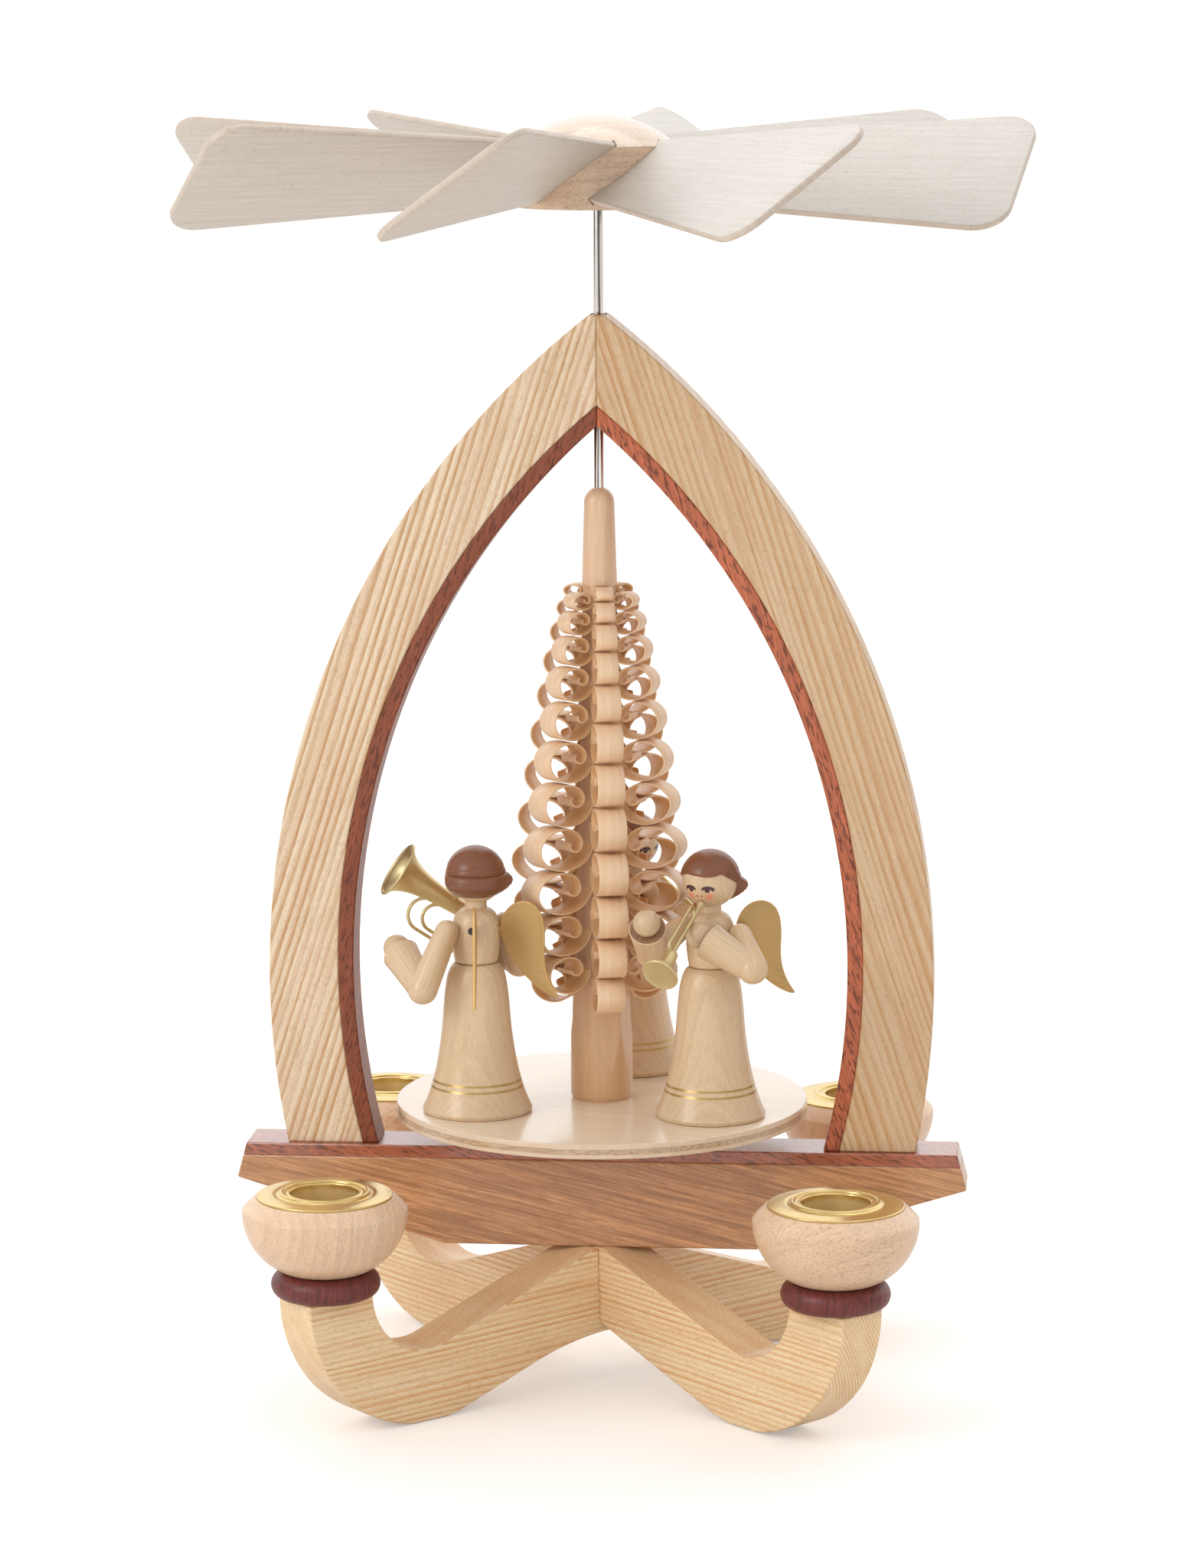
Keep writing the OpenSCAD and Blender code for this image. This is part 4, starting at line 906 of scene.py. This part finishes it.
class PYRAMID_OT_shaved_tree(bpy.types.Operator):
    """The turned trunk with its shaved flats, and six rows of curls"""
    bl_idname = "pyramid.shaved_tree"
    bl_label = "Shaved Tree"

    top, low, count, rows = 112.0, 20.5, 12, 6
    trunk_r, spire_r, crown_r = 6.7, 3.75, 3.225
    spire_h, flat_z = 17.4, 17.0
    first_row = -76.0

    def trunk(self):
        """Radius = the smaller of the turned radius and the distance to the nearest of six flats that lean inwards."""
        z = np.concatenate([np.linspace(0, 1, 5), np.linspace(1.5, self.top, 110),
                            np.linspace(self.top + 0.2, self.top + self.spire_h, 16)])
        a = np.radians(np.arange(0, 360, 2.5))
        fall = (self.trunk_r - self.spire_r) * (z - self.low) / (self.top - self.low)
        round_r = np.where(z < self.low, self.trunk_r, self.trunk_r - fall)
        spire = self.spire_r - (self.spire_r - self.crown_r) * (z - self.top) / self.spire_h
        round_r = np.where(z > self.top, spire, round_r)
        round_r = round_r - 0.35 * (1 - smooth(0, 1, z))
        off = (a - math.radians(self.first_row) + math.pi / 6) % (math.pi / 3) - math.pi / 6
        lean = np.where(z < self.flat_z, 6.75 - 1.15 * np.clip((z - 4) / 13, 0, 1) ** 1.2,
                        5.6 - 2.5 * (z - self.flat_z) / (self.top - self.flat_z))
        flat = lean[:, None] / np.cos(off)[None]
        r = np.where((z < self.top)[:, None], np.minimum(round_r[:, None], flat), round_r[:, None])
        cap = arc((0, 129.475), self.crown_r, 0, 72, 12)
        shut, bore = np.zeros((1, len(a))), np.full((2, len(a)), BORE_R)
        r = np.concatenate([shut, r, np.repeat(cap[:, :1], len(a), 1), bore, shut])
        z = np.concatenate([[0], z, cap[:, 1], [132.6, 128.0, 128.0]])
        return np.stack([r * np.cos(a), r * np.sin(a), z[:, None] + 0 * r], -1) + (0, 0, TABLE_Z)

    def curls(self, row):
        """An outer loop, out and up by cosine and sine of an angle from 180 to 450 degrees with a radius that falls
        with its square; then an inner curl, the running sum of a heading's cosine and sine times a radius of curvature
        that falls as it turns. A thin strip is carried along each, its width across the row."""
        rng = np.random.default_rng(40 + row)
        j = np.arange(self.count - row % 2) + 0.5 * (row % 2)
        first, last = math.cos(math.radians(15)), math.cos(math.radians(127))
        edge = lambda k: self.top - (self.top - self.low) * (
            first - np.cos(np.radians(15 + 112 * k / self.count))) / (first - last)
        # Reach and width grow downwards; the lowest curls reach a little less
        reach = np.where(j < 8, 7.8 + 11.8 * j / 8, 19.6 - 4.4 * ((j - 8) / 3) ** 2)
        width = (3.7 + 2.6 * np.minimum(1, j / 7)) * rng.uniform(0.95, 1.03, len(j))
        wind = lambda t: 1 - 0.8 * ((t - 180) / 520) ** 2
        low = edge(j + 1)
        high = (edge(j) - low - 0.65) / (wind(270) + wind(450))
        mid = low + 0.325 + high * wind(270)
        root = self.trunk_r - 3.6 * mid / self.top - 0.5
        out = (reach - root - 0.25) / (1 + wind(360))
        # The outer loop for a size of 1, then the headings and the steps of each inner curl
        t = np.linspace(180, 450, 40)
        loop = np.stack([1 + wind(t) * np.cos(np.radians(t)), wind(t) * np.sin(np.radians(t))], -1)
        turn = 6.6 + np.linspace(0, 1, 38)[None] * (285 + rng.uniform(-35, 45, len(j)))[:, None]
        bend = (0.36 + 0.62 * (1 - smooth(5, 90, turn)) - 0.0007 * turn) * np.radians(np.gradient(turn, axis=1))
        bend = bend * (0.5 * (out + high))[:, None]
        r, z = root[:, None] + out[:, None] * loop[:, 0], mid[:, None] + high[:, None] * loop[:, 1]
        r = np.concatenate([r, r[:, -1:] - np.cumsum(np.cos(np.radians(turn)) * bend, 1)], 1)
        z = np.concatenate([z, z[:, -1:] - np.cumsum(np.sin(np.radians(turn)) * bend, 1)], 1)
        t = np.concatenate([np.repeat(t[None], len(j), 0), 450 + turn], 1)
        along = unit(np.stack([np.gradient(r, axis=1), np.gradient(z, axis=1)], -1))
        thick = mm("shaving") * np.where(t > 640, 1 - 0.45 * (t - 640) / 100, 1.0)
        sway = rng.normal(0, 0.25, len(j))[:, None] * smooth(420, 720, t)
        taper = 1 - 0.18 * smooth(600, 720, t)
        # Ten points round the strip's section, with eased corners
        half = np.array([-1, -0.96, 0, 0.96, 1, 1, 0.96, 0, -0.96, -1]) / 2
        face = np.array([-0.6, -1, -1, -1, -0.6, 0.6, 1, 1, 1, 0.6]) / 2
        x = r[..., None] - along[..., 1:] * face * thick[..., None]
        y = half * (width[:, None] * taper)[..., None] + sway[..., None]
        h = z[..., None] + along[..., :1] * face * thick[..., None]
        strip = np.stack([x, y + 0 * x, h], -1)
        shut = strip.mean(2, keepdims=True)
        strip = np.concatenate([shut[:, :1] + 0 * strip[:, :1], strip, shut[:, -1:] + 0 * strip[:, -1:]], 1)
        return about_z(strip, self.first_row + 60 * row, (0, 0, TABLE_Z))

    def execute(self, context):
        Shell().grid(self.trunk()).build(
            "tree_trunk", CAROUSEL, finish("trunk"), ["shaved_tree"], "lime_wood", sharp=24)
        # The inner face of each strip takes the honey inside colour, painted shade; its edges take part of it.
        inner = np.array([0, 0, 0, 0, 0, 0.4, 1, 1, 1, 0.4])
        for row in range(self.rows):
            shell = Shell()
            for strip in self.curls(row):
                shell.grid(strip, shade=np.tile(inner, len(strip)))
            shell.build(f"curl_row_{row + 1}", CAROUSEL, finish("shaving"), [], "lime_wood", sharp=60)
        return {"FINISHED"}


class PYRAMID_OT_angel_figures(bpy.types.Operator):
    """Turned bodies, heads, hair, arms, hands and wings of the three angels"""
    bl_idname = "pyramid.angel_figures"
    bl_label = "Angel Figures"

    upper_r, elbow_r, fore_r, hand_r, hand_out = 2.5, 3.2, 3.0, 2.9, 2.175
    neck_flat, wing_x = 5.75, 5.5

    def body(self, angel):
        """A turned profile: a flared skirt, a waist groove, a torso and a neck."""
        side = joined([(0, 0), (11.2, 0)], arc((11.2, 0.45), 0.45, -90, 0, 5),
                      bezier([(11.75, 0.9), (9.8, 4.5), (8.42, 10), (7.5, 18)], 40),
                      bezier([(7.5, 18), (6.9, 24.1), (6.9, 30.9), (4.7, 32.3)], 36)[1:],
                      [(4.5, WAIST_Z - 0.1), (4.36, WAIST_Z), (4.48, WAIST_Z + 0.1)],
                      bezier([(4.6, 32.72), (5.7, 39.2), (5.35, 43.5), (2.55, 44.2)], 44),
                      [(2.38, 44.35), (2.35, 44.6), (2.35, 46.4), (0, 46.4)])
        Shell().grid(on_table(turned(side, 120), angel)).build(
            f"{angel}_turned_body", CAROUSEL, finish(f"{angel} body"), [f"{angel}_body"], "maple", sharp=40)

    def head(self, angel):
        """A turned ball, a little flat at the neck."""
        ball = arc((0, 0), HEAD_R, -90, 90, 49)
        ball[:, 1] = np.maximum(ball[:, 1], -self.neck_flat) + HEAD_Z
        Shell().grid(on_table(turned(ball, 72), angel)).build(
            f"{angel}_ball_head", CAROUSEL, finish(f"{angel} head"), [f"{angel}_head"], "maple", sharp=60)

    def hair(self, angel):
        """A cap of two blended profiles, from the crown down: in front a ball's arc to the edge of a parted fringe, and
        at the back the same arc with a fine line, a crease and a roll that is drawn in to the nape."""
        coat, inside, rim = mm("hair_coat"), 5.9, 0.93
        ball = HEAD_R + coat
        turn = np.linspace(-180, 180, 180, endpoint=False)
        away = np.abs(turn)
        start = np.where(turn > 0, *ROLL_FROM[angel])
        edge = np.interp(turn, [-100, -66, -32, 16, 38, 50, 60, 92], [-8, 7, 16.5, 12.7, 15, 19.5, 12, -4])
        edge = np.convolve(np.concatenate([edge[-3:], edge, edge[:3]]), np.full(7, 1 / 7), "valid")
        s = np.concatenate([np.linspace(0, rim, 79), rim + (1 - rim) * np.sin(np.radians(np.linspace(8, 90, 12)))])
        tilt = np.radians(90 - s[:, None] * (90 - edge[None]))
        depth = HEAD_R + coat * np.sqrt(np.clip(1 - ((s - rim) / (1 - rim)).clip(0, 1) ** 2, 0, 1))[:, None]
        front = np.stack([depth * np.cos(tilt), depth * np.sin(tilt)], -1)
        roll = joined(bezier([(6.24, 0.56), (6.8, 0.42), (7.3, -0.1), (7.35, -1.3)], 14),
                      bezier([(7.35, -1.3), (7.4, -2.6), (5.9, -3.4), (4.2, -4.3)], 16)[1:])
        roll[:, 0] += 0.06 * np.sin(roll[:, 1] * 9) * smooth(-0.2, 0.6, -roll[:, 1])
        dome = arc((0, 0), ball, 90, 8, 60)
        dome[:, 0] -= 0.13 * np.exp(-((dome[:, 1] - 1.75) / 0.2) ** 2)
        back = joined(dome, [(6.3, 0.72), (6.24, 0.64)], roll)
        level = np.sqrt(np.maximum(ball ** 2 - back[:, 1] ** 2, 0))[:, None]
        full = level + (back[:, :1] - level) * (0.15 + 0.85 * smooth(start, 106, away))[None]
        bulge = np.exp(-((back[:, 1:] + 1.1) / 1.5) ** 2 - ((away[None] - 116) / 15) ** 2)
        full = full + 0.7 * bulge * (start > 90)[None]
        share = smooth(start, start + 12, away)[None, :, None]
        cap = front * (1 - share) + np.stack([full, back[:, 1:] + 0 * full], -1) * share
        inner = inside * unit(cap[-1:])
        crown = np.stack([0 * inner[..., 0], 0 * inner[..., 0] + inside], -1)
        cap = np.concatenate([cap, inner, crown])
        a = np.radians(turn + FACE_TURN[angel])
        cap = np.stack([cap[..., 0] * np.cos(a), cap[..., 0] * np.sin(a), cap[..., 1] + HEAD_Z], -1)
        Shell().grid(on_table(cap, angel)).build(
            f"{angel}_hair_cap", CAROUSEL, finish("hair"), [f"{angel}_hair"], "hair_paint", sharp=60)

    def arms(self, angel):
        """An upper arm that widens to a round elbow, and a sleeve that widens to a cut end in which a ball hand
        sits: arcs, a curve and a cut, each carried round the line from joint to joint."""
        arms, hands = Shell(), Shell()
        for flip, (elbow, end) in zip((1, -1), ANGELS[angel][2:]):
            shoulder = np.array([0, SHOULDER_Y * flip, SHOULDER_Z])
            elbow, end = np.array(elbow) * (1, flip, 1), np.array(end) * (1, flip, 1)
            span_up, span_out = np.linalg.norm(elbow - shoulder), np.linalg.norm(end - elbow)
            bar = joined(arc((0, 0), self.upper_r, -90, 0, 12), arc((0, span_up), self.elbow_r, 0, 90, 12))
            arms.grid(on_table(aimed(turned(bar, 48), shoulder, elbow - shoulder), angel))
            wide = bezier([(self.fore_r, 0.2), (3.25, span_out * 0.35), (3.65, span_out * 0.7),
                           (3.95, span_out - 0.25)], 16)
            lip = arc((3.75, span_out - 0.25), 0.25, 20, 90, 5)
            sleeve = joined(arc((0, 0.2), self.fore_r, -90, 0, 12), wide[1:], lip)
            cut = [(3.75, span_out), (2.4, span_out - 0.05), (0, span_out - 0.3)]
            ball = arc((0, span_out + self.hand_out), self.hand_r, -90, 90, 33)
            for shell, profile, count, kind in ((arms, sleeve, 56, 0), (arms, cut, 56, 1), (hands, ball, 44, 0)):
                shell.grid(on_table(aimed(turned(profile, count), elbow, end - elbow), angel), kind=kind)
        arms.build(f"{angel}_sleeved_arms", CAROUSEL, [finish("limb"), finish("sleeve end")], [f"{angel}_arms"],
                   "maple", sharp=50)
        hands.build(f"{angel}_ball_hands", CAROUSEL, finish("hand"), [f"{angel}_hands"], "maple", sharp=60)

    def wings(self, angel):
        """A flat outline of four curves with rounded edges, and a short tab in the back."""
        outline = joined(bezier([(0, -1.2), (-0.4, 3.2), (2.6, 6.6), (6, 6.2)], 18),
                         bezier([(6.3, 6.12), (10, 5.2), (10.2, 1), (9.9, -4)], 18),
                         bezier([(9.87, -4.5), (9.8, -8.6), (11.2, -11.6), (12.9, -13.8)], 18),
                         [(12.95, -14.1), (12.6, -14.25)],
                         bezier([(12.1, -14.2), (9, -13.4), (3.2, -9), (1, -3)], 22), [(0.5, -2.2)])[::-1]
        tab = np.array([(-1.8, -0.5), (0.6, -0.5), (0.6, 0.5), (-1.8, 0.5)])
        # Share of the painted rim highlight across the edge, strongest on the rounded rim.
        rim_highlight = np.array([0.2, 0.8, 1, 1, 1, 1, 0.8, 0.2])
        shell = Shell()
        for side in (-1, 1):
            for shape, half, ease, highlit in ((outline, 0.35, mm("wing_edge"), 1.0), (tab, 0.34, 0.1, 0.0)):
                flat, level = board_edge(shape, half, ease)
                rows = np.stack([flat[..., 0], np.broadcast_to(-level[:, None], flat.shape[:2]), flat[..., 1]], -1)
                rows = rows + (self.wing_x, 0, WING_HOLE_Z)
                rows = on_table(about_z(rows, 180 + WING_TURN[angel] * side), angel)
                shell.grid(rows, shade=np.repeat(rim_highlight * highlit, rows.shape[1]))
                shell.cap(rows[0]).cap(rows[-1], turn=True)
        shell.build(f"{angel}_gold_wings", CAROUSEL, finish("gold"), [f"{angel}_wings"], "gold_paint", sharp=60)

    def execute(self, context):
        for angel in ANGELS:
            self.body(angel)
            self.head(angel)
            self.hair(angel)
            self.arms(angel)
            self.wings(angel)
        return {"FINISHED"}


class PYRAMID_OT_instruments(bpy.types.Operator):
    """The horn and the two trumpets"""
    bl_idname = "pyramid.instruments"
    bl_label = "Instruments"

    wire_r = 0.38

    def horn(self):
        """A flared bell, hollow at its wide end, two wire bows on its under side and a thin mouthpiece."""
        way, mid, back = np.array([0.355, 0.747, 0.562]), np.array([10.02, 0, 43.9]), 8
        tail = mid - way * back
        outer = bezier([(1.6, 2.15), (2.16, 13.3), (2.56, 18.9), (6.0, 21.2)], 34)
        rim = arc((6.0, 21.3), 0.3, -60, 120, 9)
        inner = bezier([(5.75, 21.35), (2.4, 20.2), (1.92, 17.2), (0.8, 12.0)], 24)
        bell = joined([(0, 0), (1.4, 0), (1.6, 0.3)], outer, rim, inner, [(0, 11.5)])
        shell = Shell()
        parts = [turned(bell, 72)]
        for bow, low, high in ((3.6, 2.6, 11.0), (2.95, 3.5, 8.5)):
            parts.append(tube(self.bow(1.6, bow, low, high), self.wire_r))
        for points in parts:
            shell.grid(on_table(aimed(points, tail, way), "left_angel"))
        pipe = tube(np.linspace(LIPS, mid, 6), [0.7, 0.55, 0.42, 0.4, 0.4, 0.4])
        shell.grid(on_table(pipe, "left_angel"))
        shell.build("horn_with_bows", CAROUSEL, finish("horn brass"), ["left_angel_horn"], "brass", sharp=50)

    def bow(self, foot, radius, low, high):
        """A long loop beside a tube: a half circle at each end, of cosine and sine, and a straight run between."""
        a = np.radians(np.linspace(0, 180, 22))
        lower = np.stack([foot + radius - radius * np.cos(a), 0 * a, low - radius * np.sin(a)], -1)
        upper = np.stack([foot + radius + radius * np.cos(a), 0 * a, high + radius * np.sin(a)], -1)
        far = (foot + 2 * radius, 0, (low + high) / 2)
        return joined([(foot, 0, low + 0.6)], lower, [far], upper, [(foot, 0, high - 0.6)])

    def trumpet(self, angel):
        """A straight tube with a long wire loop above it, a cupped mouthpiece and a flat-faced bell."""
        drop = math.radians(30.8)
        way = np.array([math.cos(drop), 0, -math.sin(drop)])
        mouth = joined([(0, 0), (0.75, 0)], arc((0.75, 0.15), 0.15, -90, 0, 4),
                       bezier([(0.9, 0.2), (0.85, 0.9), (0.58, 1.2), (0.55, 1.8)], 8), [(0.55, 15.9)],
                       bezier([(0.65, 15.8), (1.35, 15.9), (1.4, 16.4), (1.42, 17.6)], 12),
                       bezier([(1.43, 17.8), (1.55, 20.6), (1.85, 22.0), (3.8, 22.4)], 16),
                       arc((3.7, 22.85), 0.32, -60, 90, 8),
                       bezier([(3.55, 23.15), (3.3, 23.0), (2.0, 23.02), (0, 23.04)], 10))
        loop = tube(self.bow(0, 1.4, 4.9, 15.24) * (-1, 1, 1), self.wire_r)
        shell = Shell()
        for part in (turned(mouth, 64), loop):
            shell.grid(on_table(about_z(aimed(part, LIPS, way), TRUMPET_TURN[angel]), angel))
        shell.build(f"{angel}_brass_trumpet", CAROUSEL, finish("horn brass"), [f"{angel}_trumpet"], "brass", sharp=50)

    def execute(self, context):
        self.horn()
        self.trumpet("right_angel")
        self.trumpet("rear_angel")
        return {"FINISHED"}


class PYRAMID_OT_impeller(bpy.types.Operator):
    """The hub and its eight pitched blades"""
    bl_idname = "pyramid.impeller"
    bl_label = "Impeller"

    root_x, root_half, tip_x, tip_half = 9.6, 9.8, 92.0, 19.5
    half_t, corner, pitch, first, blade_z = 0.75, 7.0, 35.0, -13.5, 261.6

    def outline(self):
        """A blade that widens from its root: straight sides at the taper angle, and two arcs at the tip's corners."""
        taper = math.atan((self.tip_half - self.root_half) / (self.tip_x - self.root_x))
        x = self.tip_x - self.corner
        y = self.root_half + (x - self.root_x) * math.tan(taper) - self.corner / math.cos(taper)
        side = 90 + math.degrees(taper)
        return joined([(self.root_x, self.root_half), (self.root_x, -self.root_half)],
                      arc((x, -y), self.corner, -side, 0, 14), arc((x, y), self.corner, 0, side, 14))

    def execute(self, context):
        dress("impeller_hub", finish("beech hub"))
        flat, level = board_edge(self.outline(), self.half_t, mm("blade_edge"))
        rows = np.stack([flat[..., 0], flat[..., 1], np.broadcast_to(level[:, None], flat.shape[:2])], -1)
        shade = np.repeat([0.1, 0.6, 1, 1, 1, 1, 0.6, 0.1], rows.shape[1])
        pitched = rows @ np.array(Matrix.Rotation(math.radians(self.pitch), 3, "X")).T
        for i in BLADES:
            blade = about_z(pitched, self.first + 45 * (i - 1), (0, 0, self.blade_z))
            shell = Shell().grid(blade, shade=shade)
            # Each blade and each of its faces has veneer from its own place
            veneer = np.array([131.0 * i, 17.0 * i])
            shell.maps = [rows[..., :2].reshape(-1, 2)[np.array(shell.faces)].reshape(-1, 2) + veneer]
            for k, turn in ((0, True), (-1, False)):
                shell.cap(blade[k], turn=turn)
                shell.maps[-1] = rows[k][::-1 if turn else 1, :2] + veneer + (57 * (k + 1), 0)
            shell.build(f"birch_blade_{i}", CAROUSEL, finish("birch"), [f"blade_{i}"], "birch_ply", sharp=60)
        return {"FINISHED"}


class PYRAMID_OT_stage(bpy.types.Operator):
    """Pale floor, soft light from a white room and four panels, and the camera"""
    bl_idname = "pyramid.stage"
    bl_label = "Stage"

    def floor(self):
        """A flat square in metres, a little under the feet."""
        reach, count, under = 300, 13, 0.0002
        x, y = np.meshgrid(*[np.linspace(-reach, reach, count)] * 2, indexing="ij")
        points = np.stack([x, y, 0 * x - under], -1)
        quads, _ = strips(count, count, False)
        mesh = bpy.data.meshes.new("studio_floor")
        mesh.from_pydata(points.reshape(-1, 3).tolist(), [], quads.tolist())
        piece = bpy.data.objects.new("studio_floor", mesh)
        bpy.context.scene.collection.objects.link(piece)
        f, rgb = Finish("studio floor paper"), finishes().floor
        f.feed("Emission Strength", f.put("LightPath")["Is Camera Ray"])
        c = f.mixed(f.noise(f.place, 0.02), rgb, scaled(rgb, 0.985))
        mesh.materials.append(f.done(
            c, (0.7, 0.1), specular_ior_level=0.1, emission_color=(0.33, 0.32, 0.31, 1)))

    def panel(self, name, place, target, size, power):
        light = bpy.data.lights.new(name, "AREA")
        light.shape = "RECTANGLE"
        light.size, light.size_y = size
        light.energy = power
        lamp = bpy.data.objects.new(name, light)
        lamp.location = place
        lamp.rotation_mode = "QUATERNION"
        lamp.rotation_quaternion = (Vector(target) - Vector(place)).to_track_quat("-Z", "Y")
        bpy.context.scene.collection.objects.link(lamp)

    def camera(self):
        """Stands 1.005 m from the shaft, 5.64 degrees to the right of the front, and looks 9.43 degrees down."""
        away, height = 1.00477, 0.29754
        focal, long_side, offset, sensor = 6194.57, 2048, -3.89, 36
        yaw, pitch, roll = (math.radians(a) for a in (5.64, 9.43, -0.27))
        ahead = Vector((-math.sin(yaw) * math.cos(pitch), math.cos(yaw) * math.cos(pitch), -math.sin(pitch)))
        right = Vector((math.cos(yaw), math.sin(yaw), 0))
        up = right.cross(ahead)
        right, up = (math.cos(roll) * right + math.sin(roll) * up, -math.sin(roll) * right + math.cos(roll) * up)
        lens = bpy.data.cameras.new("photo_camera")
        lens.sensor_width = sensor
        lens.lens = focal / long_side * sensor
        lens.shift_x = offset / long_side
        lens.clip_start, lens.clip_end = 0.05, 900
        camera = bpy.data.objects.new("photo_camera", lens)
        turn = Matrix((right, up, -ahead)).transposed().to_4x4()
        camera.matrix_world = Matrix.Translation((away * math.sin(yaw), -away * math.cos(yaw), height)) @ turn
        bpy.context.scene.collection.objects.link(camera)
        bpy.context.scene.camera = camera

    def execute(self, context):
        scene = context.scene
        scene.view_settings.view_transform = "Standard"
        world = bpy.data.worlds.new("white room")
        world.use_nodes = True
        n = Nodes(world.node_tree)
        way = n.put("TexCoord")["Generated"]
        high = n.span(n.axis(way, "Z"), 0.0, 0.8, 0.33, 0.9)
        behind = n.span(n.axis(way, "Y"), -0.1, 0.8, 0.0, 0.8)
        room = n.tree.nodes["Background"].inputs
        room["Color"].default_value = (1, 1, 1, 1)
        n.tree.links.new(n.plus(high, behind), room["Strength"])
        scene.world = world
        self.floor()
        self.panel("left panel", (-0.52, -0.48, 0.42), (0, 0, 0.1), (0.3, 0.4), 1.7)
        self.panel("right panel", (0.9, -0.7, 0.7), (0, 0, 0.12), (0.35, 0.5), 0.15)
        self.panel("low panel", (0.06, -0.5, 0.1), (0, 0, 0.03), (0.5, 0.14), 0.2)
        self.panel("top panel", (0.1, 0.25, 1.2), (0, 0, 0.1), (0.9, 0.6), 2.0)
        self.camera()
        return {"FINISHED"}


OPERATORS = (
    PYRAMID_OT_base_cross, PYRAMID_OT_candle_holders, PYRAMID_OT_beam_and_arch, PYRAMID_OT_turntable,
    PYRAMID_OT_shaved_tree, PYRAMID_OT_angel_figures, PYRAMID_OT_instruments, PYRAMID_OT_impeller, PYRAMID_OT_stage)


class PYRAMID_PT_pieces(bpy.types.Panel):
    """Lists the pieces and their colours"""
    bl_idname = "PYRAMID_PT_pieces"
    bl_label = "Christmas Pyramid"
    bl_space_type = "VIEW_3D"
    bl_region_type = "UI"
    bl_category = "Pyramid"

    def draw(self, context):
        for operator in OPERATORS:
            self.layout.operator(operator.bl_idname)
        for settings in (context.scene.pyramid_sizes, context.scene.pyramid_woods, context.scene.pyramid_finishes):
            box = self.layout.box()
            for key in settings.__annotations__:
                box.prop(settings, key)


SETTINGS = {"pyramid_woods": PyramidWoods, "pyramid_finishes": PyramidFinishes, "pyramid_sizes": PyramidSizes}
CLASSES = (*SETTINGS.values(), *OPERATORS, PYRAMID_PT_pieces)


def register():
    for cls in CLASSES:
        bpy.utils.register_class(cls)
    for name, cls in SETTINGS.items():
        setattr(bpy.types.Scene, name, bpy.props.PointerProperty(type=cls))


def unregister():
    for name in SETTINGS:
        delattr(bpy.types.Scene, name)
    for cls in reversed(CLASSES):
        bpy.utils.unregister_class(cls)


def main():
    register()
    for operator in OPERATORS:
        family, step = operator.bl_idname.split(".")
        getattr(getattr(bpy.ops, family), step)()


if __name__ == "__main__":
    main()
